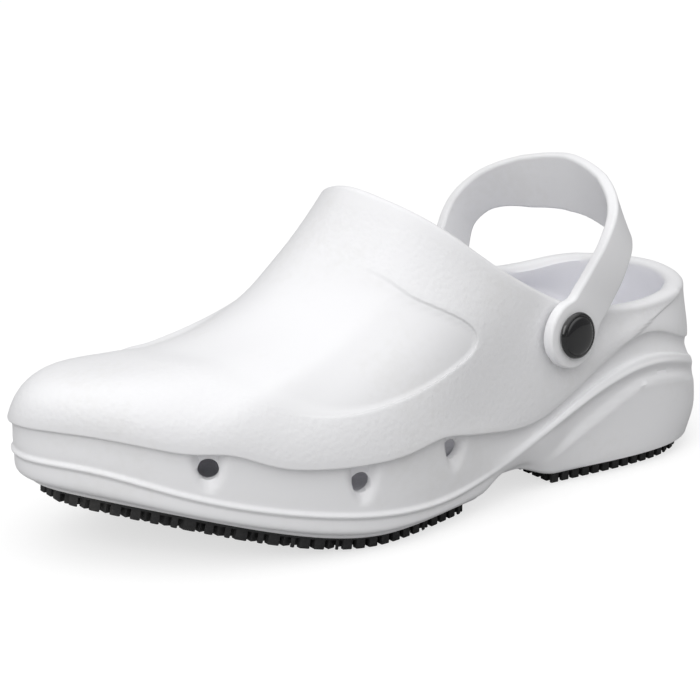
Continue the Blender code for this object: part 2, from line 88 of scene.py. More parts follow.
def ease(low: float, high: float, at: np.ndarray) -> np.ndarray:
    """Smooth step from 0 at low to 1 at high.

    Args:
        low: where the step starts.
        high: where it is complete.
        at: places to read it at.

    Returns:
        The step's value at each place.
    """
    share = np.clip((np.asarray(at, float) - low) / (high - low), 0.0, 1.0)
    return share * share * (3 - 2 * share)


def unit(vectors: np.ndarray) -> np.ndarray:
    """Vectors of length one, along the last axis."""
    return vectors / np.maximum(np.linalg.norm(vectors, axis=-1, keepdims=True), 1e-9)


def lifted(plan: np.ndarray, height: np.ndarray) -> np.ndarray:
    """Plan points given a height."""
    return np.column_stack([plan, np.broadcast_to(height, len(plan))])


def window(limits: tuple[float, float, float, float], at: np.ndarray) -> np.ndarray:
    """Smooth step up between the first two limits and down again between the last two."""
    rear, full, fall, front = limits
    return ease(rear, full, at) * (1 - ease(fall, front, at))


def drawn_in(edge: np.ndarray, share: float) -> np.ndarray:
    """Plan of a ring drawn in from an edge: share 0 is the edge, 1 the shoe's middle line."""
    partner = np.roll(edge[::-1], 1, 0)
    return (edge + (partner - edge) * share / 2)[:, :2]


class Spline:
    """Smooth cubic through values, natural at its ends or closed on a period."""

    def __init__(self, knots: np.ndarray, values: np.ndarray, period: float = 0.0) -> None:
        """Solve the curve's bends.

        Args:
            knots: places of the values, rising.
            values: what the curve passes through.
            period: length after which it closes on itself, or 0 for an open curve.
        """
        self.knots = np.asarray(knots, float)
        self.values = np.asarray(values, float)
        self.period = period
        self.ends = np.append(self.knots, self.knots[0] + period) if period else self.knots
        self.step = np.diff(self.ends)
        count = len(self.knots)
        matrix = np.eye(count)
        right = np.zeros(count)
        for i in range(count) if period else range(1, count - 1):
            before, after = (i - 1) % count, (i + 1) % count
            matrix[i] = 0.0
            matrix[i, before] += self.step[before]
            matrix[i, i] += 2 * (self.step[before] + self.step[i])
            matrix[i, after] += self.step[i]
            fore = (self.values[after] - self.values[i]) / self.step[i]
            aft = (self.values[i] - self.values[before]) / self.step[before]
            right[i] = 6 * (fore - aft)
        self.bend = np.linalg.solve(matrix, right)

    def __call__(self, at: np.ndarray) -> np.ndarray:
        """Read the curve.

        Args:
            at: places to read it at.

        Returns:
            The curve's values there.
        """
        at = np.asarray(at, float)
        if self.period:
            at = (at - self.knots[0]) % self.period + self.knots[0]
        k = np.clip(np.searchsorted(self.ends, at, side="right") - 1, 0, len(self.step) - 1)
        after = (k + 1) % len(self.knots)
        along, step = at - self.ends[k], self.step[k]
        value, bend, ahead = self.values[k], self.bend[k], self.bend[after]
        slope = (self.values[after] - value) / step - step * (2 * bend + ahead) / 6
        return value + along * (slope + along * (bend / 2 + along * (ahead - bend) / (6 * step)))


@dataclass(frozen=True)
class Station:
    """One station round the shoe: plan outline, side wall offsets, collar edge and the upper's handles."""

    name: str
    x: float
    y: float
    low_in: float
    wall_out: float
    ridge_z: float
    ridge_out: float
    recess: float
    step_z: float
    rim_x: float
    rim_y: float
    rim_z: float
    rise: float
    bulge: float
    lead: float
    drop: float


STATIONS: tuple[Station, ...] = (
    Station("toe_tip", 265, -15, 6.1, -1.8, 33.6, -0.8, -1.4, 44.2, 148.5, -3, 106.0, 34, -5.0, 44, 72),
    Station("toe_lateral", 254, 9, 6.5, -1.8, 33.2, -0.8, -1.5, 45.0, 145.0, 10, 104.0, 31, 0.0, 37, 64),
    Station("little_toe", 232, 30, 7.5, -2.0, 26.2, -0.9, -2.0, 40.3, 139.0, 21, 100.0, 27, 0.0, 30, 50),
    Station("ball_fore", 202, 45, 6.0, -2.2, 18.2, -1.0, -2.4, 33.5, 130.0, 30, 93.2, 24, 0.0, 22, 34),
    Station("ball", 165, 51.5, 4.3, -2.0, 12.3, -1.0, -2.4, 31.6, 117.0, 36, 82.8, 20, -2.0, 13, 19),
    Station("waist_fore", 128, 46, 5.5, -2.4, 12.6, -1.0, -2.2, 30.3, 101.0, 38, 72.3, 12, -3.0, 6, 14),
    Station("waist", 98, 40.5, 4.0, -1.8, 20.9, -0.3, -2.4, 28.0, 83.0, 37.4, 63.5, 13, 0.5, 2, 13),
    Station("heel_fore", 44, 37.7, -1.0, 1.6, 37.8, 1.2, -1.8, 49.4, 42.0, 35.4, 58.2, 3, 0.0, 0.3, 3),
    Station("heel_side", 25.6, 33.6, -1.5, 3.0, 34.6, 2.0, -0.9, 44.0, 25.5, 31.0, 58.8, 4, 0.0, 0, 4),
    Station("heel_corner", 9.2, 20.4, -0.5, 3.8, 28.5, 2.2, -0.8, 39.5, 10.6, 18.6, 59.4, 5, 0.0, 0, 5),
    Station("heel_back", 2.8, 0, 0.5, 4.0, 27.0, 2.2, -0.8, 39.0, 5.0, 0, 60.3, 5, 0.0, 0, 5),
    Station("heel_corner_in", 9.2, -20.4, -0.5, 3.8, 28.5, 2.2, -0.8, 39.5, 10.6, -18.6, 60.2, 5, 0.0, 0, 5),
    Station("heel_side_in", 25.6, -33.1, -1.5, 3.0, 34.6, 2.0, -0.9, 44.0, 25.5, -30.5, 60.0, 4, 0.0, 0, 4),
    Station("heel_fore_in", 44, -36.3, -1.0, 1.6, 37.8, 1.2, -1.8, 49.4, 42.0, -34.0, 58.8, 3, 0.0, 0.3, 3),
    Station("waist_in", 98, -37.5, 4.0, -1.8, 20.9, -0.3, -2.4, 28.0, 83.0, -35.4, 63.5, 13, 0.5, 2, 13),
    Station("waist_fore_in", 132, -41, 5.5, -2.4, 12.6, -1.0, -2.2, 30.3, 101.0, -36, 71.5, 15, 1.5, 6, 14),
    Station("ball_in", 170, -47.5, 4.3, -2.0, 12.5, -1.0, -2.4, 31.6, 117.5, -36, 81.5, 21, 2.5, 14, 20),
    Station("ball_fore_in", 206, -49, 6.0, -2.2, 18.4, -1.0, -2.4, 33.5, 130.5, -32, 91.5, 19, 2.0, 28, 35),
    Station("big_toe", 238, -45, 7.0, -2.0, 26.4, -0.9, -1.8, 40.6, 142.0, -25, 99.5, 28, -9.0, 50, 70),
    Station("toe_medial", 258, -33, 6.0, -1.8, 32.2, -0.8, -1.4, 42.2, 147.0, -14.5, 104.0, 37, -12.0,
            52, 76),
)


@dataclass(frozen=True)
class Vent:
    """A vent in each side wall: its place along the shoe and its height."""

    x: float
    z: float


@dataclass(frozen=True)
class Swell:
    """A place on each side where the step under the upper swells up: where, how high and how far."""

    x: float
    rise: float
    reach: float


@dataclass
class Last:
    """The shoe's own form, read at any place round its girth."""

    stations: tuple[Station, ...] = STATIONS
    vents: tuple[Vent, ...] = (Vent(225.7, 33.9), Vent(178, 24.3), Vent(138.6, 27.0))
    swells: tuple[Swell, ...] = (Swell(219, 2.6, 11.0), Swell(147, 2.3, 12.0))
    wall: float = 4.0
    edge_round: float = 1.4
    tread_top: float = 4.6
    toe_spring: float = 19.3
    spring: tuple[float, float] = (165.0, 272.0)
    waist_rise: float = 5.6
    waist_steps: tuple[float, float, float, float] = (86.0, 106.0, 114.0, 126.0)
    heel_bevel: float = 1.6
    heel_bevel_to: float = 22.0
    footbed_x: tuple[float, ...] = (0, 40, 85, 125, 165, 205, 240, 262)
    footbed_z: tuple[float, ...] = (36.0, 32.5, 30.0, 21.0, 16.0, 20.0, 29.0, 35.5)
    upper_over: float = 0.5
    inner_over: float = 1.0
    cup_over: float = 7.0
    probe: float = 0.05

    def __post_init__(self) -> None:
        """Prepare a curve for each station column."""
        xy = np.array([(s.x, s.y) for s in self.stations])
        steps = np.linalg.norm(np.roll(xy, -1, 0) - xy, axis=1)
        self.knots = np.concatenate([[0.0], np.cumsum(steps)[:-1]])
        self.girth = float(steps.sum())
        names = [f.name for f in fields(Station) if f.name != "name"]
        self.curves = {n: Spline(self.knots, [getattr(s, n) for s in self.stations], self.girth)
                       for n in names}
        self.footbed = Spline(self.footbed_x, self.footbed_z)
        self.swell_places = [(self.place(swell.x, side), swell) for side in Side for swell in self.swells]

    def spread(self, count: int) -> np.ndarray:
        """Girth positions of a ring, with the same number on each side so that they pair across."""
        share = np.arange(count) * len(self.stations) / count
        return np.interp(share, np.arange(len(self.stations) + 1), np.append(self.knots, self.girth))

    def read(self, name: str, at: np.ndarray) -> np.ndarray:
        """A station column at girth positions."""
        return self.curves[name](at)

    def outline(self, at: np.ndarray, out: np.ndarray | float = 0.0) -> np.ndarray:
        """Plan outline moved out along its own normal.

        Args:
            at: girth positions.
            out: offset at each of them.

        Returns:
            Plan points, one row each.
        """
        here = np.column_stack([self.read("x", at), self.read("y", at)])
        near = at + self.probe
        ahead = np.column_stack([self.read("x", near), self.read("y", near)])
        along = unit(ahead - here)
        out = np.broadcast_to(out, len(here))
        return here + np.column_stack([along[:, 1], -along[:, 0]]) * out[:, None]

    def tread(self, x: np.ndarray) -> np.ndarray:
        """Height of the foam's underside: flat heel and ball, raised waist, toe spring."""
        spring = self.toe_spring * ease(*self.spring, x)
        waist = self.waist_rise * window(self.waist_steps, x)
        heel = self.heel_bevel * np.clip(1 - x / self.heel_bevel_to, 0, None) ** 2
        return self.tread_top + spring + waist + heel

    def place(self, x: float, side: Side) -> float:
        """Girth position of a place along the shoe, on one side."""
        samples, wrong_side = 2880, 1000.0
        at = np.linspace(0, self.girth, samples + 1)[:-1]
        plan = self.outline(at)
        miss = np.abs(plan[:, 0] - x) + wrong_side * (np.sign(plan[:, 1]) != side.value)
        return float(at[np.argmin(miss)])

    def step(self, at: np.ndarray) -> np.ndarray:
        """Height of the wavy step under the upper."""
        height = self.read("step_z", at)
        for place, swell in self.swell_places:
            height = height + swell.rise * np.exp(-((at - place) / swell.reach) ** 2)
        return height

    def upper(self, at: np.ndarray, share: np.ndarray | float) -> np.ndarray:
        """Outside of the upper: share 0 at the step, 1 at the collar edge.

        Args:
            at: girth positions.
            share: how far up the upper's curve.

        Returns:
            Points, one row each.
        """
        start = lifted(self.outline(at), self.step(at) + self.upper_over)
        rim = np.column_stack([self.read("rim_" + axis, at) for axis in "xyz"])
        first = lifted(self.outline(at, self.read("bulge", at)), start[:, 2] + self.read("rise", at))
        away = unit(start[:, :2] - rim[:, :2]) * self.read("lead", at)[:, None]
        second = rim + np.column_stack([away, -self.read("drop", at)])
        v = np.broadcast_to(share, len(at))[:, None]
        low = start * (1 - v) ** 3 + first * (3 * v * (1 - v) ** 2)
        return low + second * (3 * v * v * (1 - v)) + rim * v ** 3

    def normal(self, at: np.ndarray, share: np.ndarray | float) -> np.ndarray:
        """Outward normal of the upper."""
        share, rise, reach = np.broadcast_to(share, len(at)), 0.01, 0.4
        up = self.upper(at, np.clip(share + rise, 0, 1)) - self.upper(at, np.clip(share - rise, 0, 1))
        along = self.upper(at + reach, share) - self.upper(at - reach, share)
        return unit(np.cross(along, up))

    def inner_low(self, at: np.ndarray) -> np.ndarray:
        """Share of the upper's curve at which its inside meets the cup wall."""
        grid = np.linspace(0.0, 0.9, 46)
        heights = np.array([self.upper(at, v)[:, 2] for v in grid])
        cup = self.footbed(self.read("x", at)) + self.cup_over
        wanted = np.maximum(heights[0] + self.inner_over, cup)
        return np.array([np.interp(wanted[i], heights[:, i], grid) for i in range(len(at))])


def start_fresh() -> None:
    """Leave edit mode and deselect everything."""
    if bpy.context.object and bpy.context.object.mode != "OBJECT":
        bpy.ops.object.mode_set(mode="OBJECT")
    bpy.ops.object.select_all(action="DESELECT")


def pick(piece: bpy.types.Object) -> None:
    """Select one piece alone and make it the active one."""
    start_fresh()
    piece.select_set(True)
    bpy.context.view_layer.objects.active = piece


@contextmanager
def edit_mode() -> Iterator[None]:
    """Work on the active piece's mesh in edit mode, then go back to object mode."""
    bpy.ops.object.mode_set(mode="EDIT")
    yield
    bpy.ops.object.mode_set(mode="OBJECT")


def points_of(piece: bpy.types.Object) -> np.ndarray:
    """A mesh's vertices as it holds them, one row each."""
    flat = np.empty(len(piece.data.vertices) * 3, np.float32)
    piece.data.vertices.foreach_get("co", flat)
    return flat.reshape(-1, 3)


def set_points(piece: bpy.types.Object, points: np.ndarray) -> None:
    """Move a mesh's vertices to drawing points, in the frame's metres."""
    metres = ((points - ORIGIN) * MM).astype(np.float32)
    piece.data.vertices.foreach_set("co", metres.ravel())
    piece.data.update()


def new_grid(name: str, columns: int, rows: int) -> tuple[bpy.types.Object, np.ndarray, np.ndarray]:
    """Add a flat grid as a new piece.

    Args:
        name: the piece's name.
        columns: number of faces along x.
        rows: number of faces along y.

    Returns:
        The piece, and the column and the row of each of its vertices.
    """
    start_fresh()
    bpy.ops.mesh.primitive_grid_add(x_subdivisions=columns, y_subdivisions=rows, size=1.0)
    piece = bpy.context.object
    piece.name = name
    piece.data.name = name
    grid = points_of(piece)
    column = np.rint((grid[:, 0] + 0.5) * columns).astype(int)
    row = np.rint((grid[:, 1] + 0.5) * rows).astype(int)
    return piece, column, row


def close_mesh(piece: bpy.types.Object, reach: float = 0.002) -> None:
    """Merge points closer than a reach in millimetres and turn all faces outwards."""
    pick(piece)
    with edit_mode():
        bpy.ops.mesh.select_all(action="SELECT")
        bpy.ops.mesh.remove_doubles(threshold=reach * MM)
        bpy.ops.mesh.normals_make_consistent(inside=False)


def wrapped_sheet(name: str, rows: list[np.ndarray], marks: dict[str, np.ndarray]) -> bpy.types.Object:
    """Wrap a grid round a form, ring by ring, and close its seam.

    Args:
        name: the piece's name.
        rows: rings of drawing points, all with the same count.
        marks: point attributes, each with a value for every point of every ring.

    Returns:
        The closed piece.
    """
    count = len(rows[0])
    piece, column, row = new_grid(name, count, len(rows) - 1)
    column %= count
    set_points(piece, np.array(rows)[row, column])
    for mark, values in marks.items():
        layer = piece.data.attributes.new(mark, "FLOAT", "POINT")
        layer.data.foreach_set("value", np.asarray(values)[row, column].astype(np.float32))
    close_mesh(piece)
    return piece


@dataclass(frozen=True)
class Bore:
    """A straight round hole: a point on its axis, the way out, its radius and its two ends."""

    seat: np.ndarray
    axis: np.ndarray
    radius: float
    low: float
    high: float


def drill(piece: bpy.types.Object, bores: list[Bore], corners: int = 40) -> None:
    """Cut round holes through a piece.

    Args:
        piece: what is cut.
        bores: the holes, in drawing millimetres.
        corners: sides of each round cutter.
    """
    cutters = []
    for bore in bores:
        start_fresh()
        middle = bore.seat + bore.axis * (bore.low + bore.high) / 2
        turn = Vector(bore.axis).to_track_quat("Z", "Y").to_euler()
        bpy.ops.mesh.primitive_cylinder_add(vertices=corners, radius=bore.radius * MM,
                                            depth=(bore.high - bore.low) * MM,
                                            location=(middle - ORIGIN) * MM, rotation=turn)
        cutters.append(bpy.context.object)
    for cutter in cutters:
        cutter.select_set(True)
    bpy.context.view_layer.objects.active = cutters[0]
    bpy.ops.object.join()
    pick(piece)
    cut = piece.modifiers.new("bores", "BOOLEAN")
    cut.operation = "DIFFERENCE"
    cut.solver = "MANIFOLD"
    cut.object = cutters[0]
    bpy.ops.object.modifier_apply(modifier=cut.name)
    bpy.data.objects.remove(cutters[0], do_unlink=True)


def dress(piece: bpy.types.Object, material: bpy.types.Material) -> None:
    """Give a piece one material."""
    piece.data.materials.clear()
    piece.data.materials.append(material)


def hand_over(piece: bpy.types.Object, material: bpy.types.Material, slot: Slot, *nodes: str) -> None:
    """Dress a piece, let it stand for its CAD nodes and have it ride with the shoe.

    Args:
        piece: the finished piece.
        material: what it is dressed in.
        slot: the record's material slot; not used.
        nodes: the CAD nodes that it replaces.
    """
    dress(piece, material)
    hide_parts(*nodes)
    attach(piece, BODY)
    LOG.info("%s: %d faces, stands for %s", piece.name, len(piece.data.polygons), ", ".join(nodes))


def smooth_shading(piece: bpy.types.Object, angle: float) -> None:
    """Shade a piece smooth, with edges sharper than an angle in degrees left sharp."""
    pick(piece)
    bpy.ops.object.shade_smooth_by_angle(angle=math.radians(angle))


def polygon_depth(points: np.ndarray, corners: np.ndarray) -> np.ndarray:
    """Distance of points inside a closed outline from its edge, negative outside.

    Args:
        points: plan points, one row each.
        corners: the outline's corners in order.

    Returns:
        Signed distance of each point.
    """
    nearest = np.full(len(points), 1e9)
    inside = np.zeros(len(points), bool)
    for a, b in zip(corners, np.roll(corners, -1, 0)):
        edge, to = b - a, points - a
        share = np.clip(to @ edge / max(edge @ edge, 1e-9), 0, 1)
        nearest = np.minimum(nearest, np.linalg.norm(to - share[:, None] * edge, axis=1))
        crosses = (a[1] > points[:, 1]) != (b[1] > points[:, 1])
        if abs(edge[1]) > 1e-9:
            inside ^= crosses & (points[:, 0] < a[0] + (points[:, 1] - a[1]) * edge[0] / edge[1])
    return np.where(inside, nearest, -nearest)


@dataclass(frozen=True)
class PanelRow:
    """A section of the vamp's smooth panel: share of the girth from the toe, middle and half height."""

    girth: float
    middle: float
    half: float


@dataclass
class VampPanel:
    """The smooth recessed panel across the vamp, ending in a round lobe on each side."""

    rows: tuple[PanelRow, ...] = (
        PanelRow(0.0, 0.675, 0.205), PanelRow(0.06, 0.655, 0.228), PanelRow(0.11, 0.575, 0.275),
        PanelRow(0.15, 0.522, 0.278), PanelRow(0.19, 0.518, 0.262), PanelRow(0.24, 0.556, 0.25))
    lobe_from: float = 0.15
    lobe_to: float = 0.24
    share_length: float = 75.0
    depth: float = 0.7
    edge: float = 1.8
    front_edge: float = 6.0
    upper_part: tuple[float, float] = (0.4, 0.7)
    crisp_low: tuple[float, float] = (0.13, 0.19)
    crisp_high: tuple[float, float] = (0.05, 0.12)

    def corners(self, last: Last) -> np.ndarray:
        """Outline of the panel on the unrolled upper, in millimetres."""
        girth = [r.girth for r in self.rows]
        middle = Spline(girth, [r.middle for r in self.rows])
        half = Spline(girth, [r.half for r in self.rows])
        turn = np.sin(np.linspace(0, math.pi / 2, 40))
        at = np.concatenate([np.linspace(0, self.lobe_from, 30)[:-1],
                             self.lobe_from + (self.lobe_to - self.lobe_from) * turn])
        lobe = np.clip((at - self.lobe_from) / (self.lobe_to - self.lobe_from), 0, 1)
        reach = half(at) * np.sqrt(1 - lobe * lobe)
        top = np.column_stack([at * last.girth, (middle(at) + reach) * self.share_length])
        low = np.column_stack([at * last.girth, (middle(at) - reach) * self.share_length])
        right = np.vstack([top, low[::-1]])
        left = right[::-1] * (-1, 1)
        return np.vstack([right, left])

    def depths(self, last: Last, at: np.ndarray, share: float) -> tuple[np.ndarray, ...]:
        """How deep the upper is let in along one row.

        Args:
            last: the shoe's form.
            at: girth positions of the row.
            share: how far up the upper the row lies.

        Returns:
            At each position the depth, the distance inside the panel's edge and how crisp the edge is.
        """
        signed = np.where(at > last.girth / 2, at - last.girth, at)
        points = np.column_stack([signed, np.full(len(at), share * self.share_length)])
        inside = polygon_depth(points, self.corners(last))
        turn = np.abs(signed) / last.girth
        upper = float(ease(*self.upper_part, share))
        sharp = ease(*self.crisp_low, turn) * (1 - upper) + ease(*self.crisp_high, turn) * upper
        edge = self.front_edge + (self.edge - self.front_edge) * sharp
        depth = self.depth * ease(0.0, 1.0, inside / edge)
        return depth, np.clip(inside, -PANEL_FAR, PANEL_FAR), sharp


@dataclass
class FoamBody:
    """Upper and midsole, moulded whole: underside, side wall, upper, collar roll, inside and footbed."""

    last: Last
    panel: VampPanel = field(default_factory=VampPanel)
    columns: int = 480
    under_rows: int = 9
    upper_rows: int = 56
    upper_crowd: float = 1.1
    inner_rows: int = 18
    footbed_rows: int = 6
    cup_in: float = 8.5
    cup_foot: tuple[tuple[float, float], ...] = ((1.0, 1.5), (0.0, 0.0))
    collar_step: int = 18
    rim_probe: float = 0.97
    sharp: float = 48.0
    # Side wall: points over its bottom edge, its shoulder, and the lip of the step.
    edge_points: tuple[tuple[float, float], ...] = ((-0.2, 0.4), (0.6, 1.6))
    wall_share: float = 0.4
    gap_shares: tuple[float, float] = (0.3, 0.65)
    flat_x: tuple[float, float] = (104.0, 134.0)
    shoulder: float = 0.75
    shoulder_flat: float = 0.2
    shoulder_heel: float = 0.45
    shoulder_heel_x: tuple[float, float] = (30.0, 60.0)
    step_tuck: float = 0.92
    step_under: float = 0.9
    lip: tuple[tuple[float, float], ...] = (
        (0.7, -0.62), (0.45, -0.5), (0.2, -0.4), (0.05, -0.2), (0.0, 0.12))
    # Bead: full ahead of the waist, slight behind it, and faint at the waist itself.
    bead: float = 1.0
    bead_half: float = 0.9
    bead_power: float = 2.6
    bead_waist: float = 0.12
    bead_full_x: tuple[float, float] = (108.0, 140.0)
    bead_heel: float = 0.35
    bead_heel_x: tuple[float, float, float, float] = (24.0, 44.0, 84.0, 104.0)
    # Heel wing: a groove between its edge and the bead, and a ridge on that edge.
    wing_groove: float = 1.5
    wing_edge: float = 1.6
    wing_edge_on: float = 0.45
    wing_top: float = 3.6
    wing_top_fall: float = 3.2
    wing_ridge: float = 0.6
    wing_ridge_half: float = 1.1
    wing_fade_x: tuple[float, float, float, float] = (6.0, 26.0, 78.0, 94.0)
    wing_soft_x: tuple[float, float] = (18.0, 44.0)
    wing_x: tuple[float, ...] = (0, 12, 22, 34, 46, 56.5, 69, 81, 92)
    wing_z: tuple[float, ...] = (21.0, 23.0, 27.4, 31.4, 31.9, 28.8, 23.0, 16.6, 10.0)
    # Heel of the upper: its crease and its thicker rim.
    crease: float = 0.7
    crease_soft: float = 0.9
    crease_end_x: tuple[float, float] = (50.0, 62.0)
    crease_x: tuple[float, ...] = (0, 12, 22, 27, 35, 42, 50, 56, 62)
    crease_z: tuple[float, ...] = (64.0, 61.5, 58.8, 57.3, 55.6, 53.6, 50.2, 46.8, 43.3)
    heel_rim: float = 7.0
    heel_rim_x: tuple[float, float] = (52.0, 74.0)
    # Marks: where the upper is grained, and where the inside is painted darker towards the toe, a painted
    # shade.
    grain_shares: tuple[float, float, float, float] = (0.0, 0.03, 0.97, 1.0)
    grain_edge: tuple[float, float] = (-0.5, 1.0)
    grain_heel_x: tuple[float, float] = (46.0, 62.0)
    toe_shade_x: tuple[float, float] = (100.0, 126.0)
    # Vents and the scoops under them.
    vent_radius: float = 3.3
    vent_ends: tuple[float, float] = (-16.0, 6.0)
    scoop_depth: float = 3.6
    scoop_half: float = 6.1
    scoop_fall: float = 7.3
    scoop_flank: float = 0.65
    scoop_over: float = 1.4

    def underside(self, edge: np.ndarray) -> list[np.ndarray]:
        """Rings of the underside, from its middle line to the bottom edge."""
        plans = [drawn_in(edge, share) for share in np.linspace(1, 0, self.under_rows + 1)[:-1]]
        return [lifted(plan, self.last.tread(plan[:, 0])) for plan in plans]

    def wall_controls(self, at: np.ndarray) -> np.ndarray:
        """Offset and height of the side wall's main lines, from the bottom edge to under the step."""
        last = self.last
        x, low_in, wall_out, recess, ridge_z = (
            last.read(name, at) for name in ("x", "low_in", "wall_out", "recess", "ridge_z"))
        step_z = last.step(at)
        low_z = last.tread(last.outline(at, -low_in)[:, 0])
        gap = step_z - ridge_z
        flat, heel = ease(*self.flat_x, x), 1 - ease(*self.shoulder_heel_x, x)
        ridge_out = last.read("ridge_out", at) * (1 - flat) + 0.5 * (recess + wall_out) * flat
        behind = self.shoulder_heel * ridge_out + (1 - self.shoulder_heel) * recess
        shoulder = recess * (self.shoulder + self.shoulder_flat * flat) * (1 - heel) + behind * heel
        low, high = self.gap_shares
        lines = [(-low_in - last.edge_round, low_z)]
        lines += [(-low_in + out, low_z + up) for out, up in self.edge_points]
        lines += [(wall_out, low_z + self.wall_share * (ridge_z - low_z)), (ridge_out, ridge_z),
                  (shoulder, ridge_z + low * gap), (recess, ridge_z + high * gap),
                  (recess * self.step_tuck, step_z - self.step_under)]
        return np.array([np.column_stack(line) for line in lines])

    @staticmethod
    def curve_rows(controls: np.ndarray) -> list[np.ndarray]:
        """Close rows on a smooth curve through the wall's main lines, closest at the bead.

        Args:
            controls: offset and height of each line at each column.

        Returns:
            Offset and height of each row at each column.
        """
        counts, bias, crowd = (3, 3, 8, 14, 14, 6, 6), {3: "end", 4: "start"}, 1.7
        first, final = 2 * controls[0] - controls[1], 2 * controls[-1] - controls[-2]
        full = np.concatenate([first[None], controls, final[None]])
        rows = []
        for k, count in enumerate(counts):
            p, q, r, s = full[k:k + 4]
            for t in np.arange(count) / count:
                if k in bias:
                    t = t ** crowd if bias[k] == "start" else 1 - (1 - t) ** crowd
                rows.append(0.5 * (2 * q + (r - p) * t + (2 * p - 5 * q + 4 * r - s) * t * t
                                   + (3 * q - p - 3 * r + s) * t ** 3))
        rows.append(controls[-1])
        return rows

    def wall_detail(self, at: np.ndarray, height: np.ndarray) -> np.ndarray:
        """Offset that the bead, the heel wing and the vent scoops add to a row of the side wall.

        Args:
            at: girth positions.
            height: the row's height at each of them.

        Returns:
            The added offset.
        """
        last = self.last
        x, ridge_z = last.read("x", at), last.read("ridge_z", at)
        fore = self.bead_waist + (1 - self.bead_waist) * ease(*self.bead_full_x, x)
        size = self.bead * (fore + self.bead_heel * window(self.bead_heel_x, x))
        off = size * np.exp(-np.abs((height - ridge_z) / self.bead_half) ** self.bead_power)
        fade, soft = window(self.wing_fade_x, x), 2 - ease(*self.wing_soft_x, x)
        over = height - Spline(self.wing_x, self.wing_z)(np.clip(x, 0, self.wing_x[-1]))
        above = ease(0.0, 1.0, over / (self.wing_edge * soft) + self.wing_edge_on)
        below = 1 - ease(0.0, 1.0, (height - ridge_z + self.wing_top) / self.wing_top_fall)
        off = off - self.wing_groove * above * below * fade
        off = off + self.wing_ridge * np.exp(-(over / (self.wing_ridge_half * soft)) ** 2) * fade
        for side in Side:
            for vent in last.vents:
                along = at - last.place(vent.x, side)
                bottom = vent.z - self.scoop_fall
                ramp = np.clip((height - bottom) / self.scoop_fall, 0, self.scoop_over)
                half = self.scoop_half * np.sqrt(np.maximum(ramp, 1e-4) / self.scoop_over)
                inside = 1 - np.abs(along) / half
                off = off - self.scoop_depth * np.minimum(ramp, 1) * ease(0.0, self.scoop_flank, inside)
        return off

    def side(self, at: np.ndarray) -> list[np.ndarray]:
        """Rings of the side wall, up to the lip of the step."""
        last = self.last
        rings = []
        for row in self.curve_rows(self.wall_controls(at)):
            out = row[:, 0] + self.wall_detail(at, row[:, 1])
            rings.append(lifted(last.outline(at, out), row[:, 1]))
        recess, step_z = last.read("recess", at), last.step(at)
        for times, lift in self.lip:
            rings.append(lifted(last.outline(at, recess * times), step_z + lift))
        return rings

    def thickness(self, at: np.ndarray, share: float) -> np.ndarray:
        """Wall thickness of the upper: thicker towards the rim of the heel."""
        heel = 1 - ease(*self.heel_rim_x, self.last.read("x", at))
        return self.last.wall + (self.heel_rim - self.last.wall) * heel * float(ease(0.0, 1.0, share))

    def bulge(self, at: np.ndarray, share: float) -> np.ndarray:
        """How far the heel's upper stands out above the straight crease that runs up to its rim."""
        x, height = self.last.read("x", at), self.last.upper(at, share)[:, 2]
        line = Spline(self.crease_x, self.crease_z)(np.clip(x, 0, self.crease_x[-1]))
        above = ease(0.0, 1.0, (height - line) / self.crease_soft)
        return self.crease * above * (1 - ease(*self.crease_end_x, x))

    def collar(self, at: np.ndarray) -> list[np.ndarray]:
        """Rings of the rolled collar edge, from the outside over to the inside."""
        last = self.last
        normal = last.normal(at, 1.0)
        rim = last.upper(at, 1.0) + normal * self.bulge(at, 1.0)[:, None]
        up = unit(last.upper(at, 1.0) - last.upper(at, self.rim_probe)) * last.wall / 2
        half = self.thickness(at, 1.0)[:, None] / 2
        angles = np.radians(np.arange(self.collar_step, 180, self.collar_step))
        return [rim + half * normal * (math.cos(t) - 1) + up * math.sin(t) for t in angles]

    def inside(self, at: np.ndarray) -> list[np.ndarray]:
        """Rings of the inside wall, from the collar down to the footbed's edge."""
        last = self.last
        low = last.inner_low(at)
        rings = []
        for share in np.linspace(1, 0, self.inner_rows):
            v = low + (1 - low) * share
            rings.append(last.upper(at, v) - self.thickness(at, share)[:, None] * last.normal(at, v))
        for inset, over in self.cup_foot:
            edge = last.outline(at, -self.cup_in + inset)
            rings.append(lifted(edge, last.footbed(edge[:, 0]) + over))
        return rings

    def footbed(self, edge: np.ndarray) -> list[np.ndarray]:
        """Rings of the footbed, from its edge to its middle line."""
        plans = [drawn_in(edge, share) for share in np.linspace(0, 1, self.footbed_rows + 1)[1:]]
        return [lifted(plan, self.last.footbed(plan[:, 0])) for plan in plans]

    def bores(self, axes: Axes) -> list[Bore]:
        """The vents and the two rivet holes."""
        last = self.last
        holes = []
        for side in Side:
            for vent in last.vents:
                at = np.array([last.place(vent.x, side)])
                here, out = last.outline(at)[0], last.outline(at, 1.0)[0]
                axis = np.array([*(out - here), 0.0])
                holes.append(Bore(np.array([*here, vent.z]), axis, self.vent_radius, *self.vent_ends))
            holes.append(Bore(*axes[side], SHANK_HOLE, *SHANK_ENDS))
        return holes

    def build(self, axes: Axes) -> bpy.types.Object:
        """Model the body.

        Args:
            axes: seat and way out of each rivet.

        Returns:
            The finished mesh object, not yet dressed.
        """
        at = self.last.spread(self.columns)
        plain = {name: np.full(len(at), value) for name, value in PLAIN_MARKS.items()}
        rings: list[np.ndarray] = []
        marks: list[dict[str, np.ndarray]] = []

        def lay(ring: np.ndarray, **values: np.ndarray) -> None:
            """Add a ring with its marks, plain where none is given."""
            rings.append(ring)
            marks.append({**plain, **values})

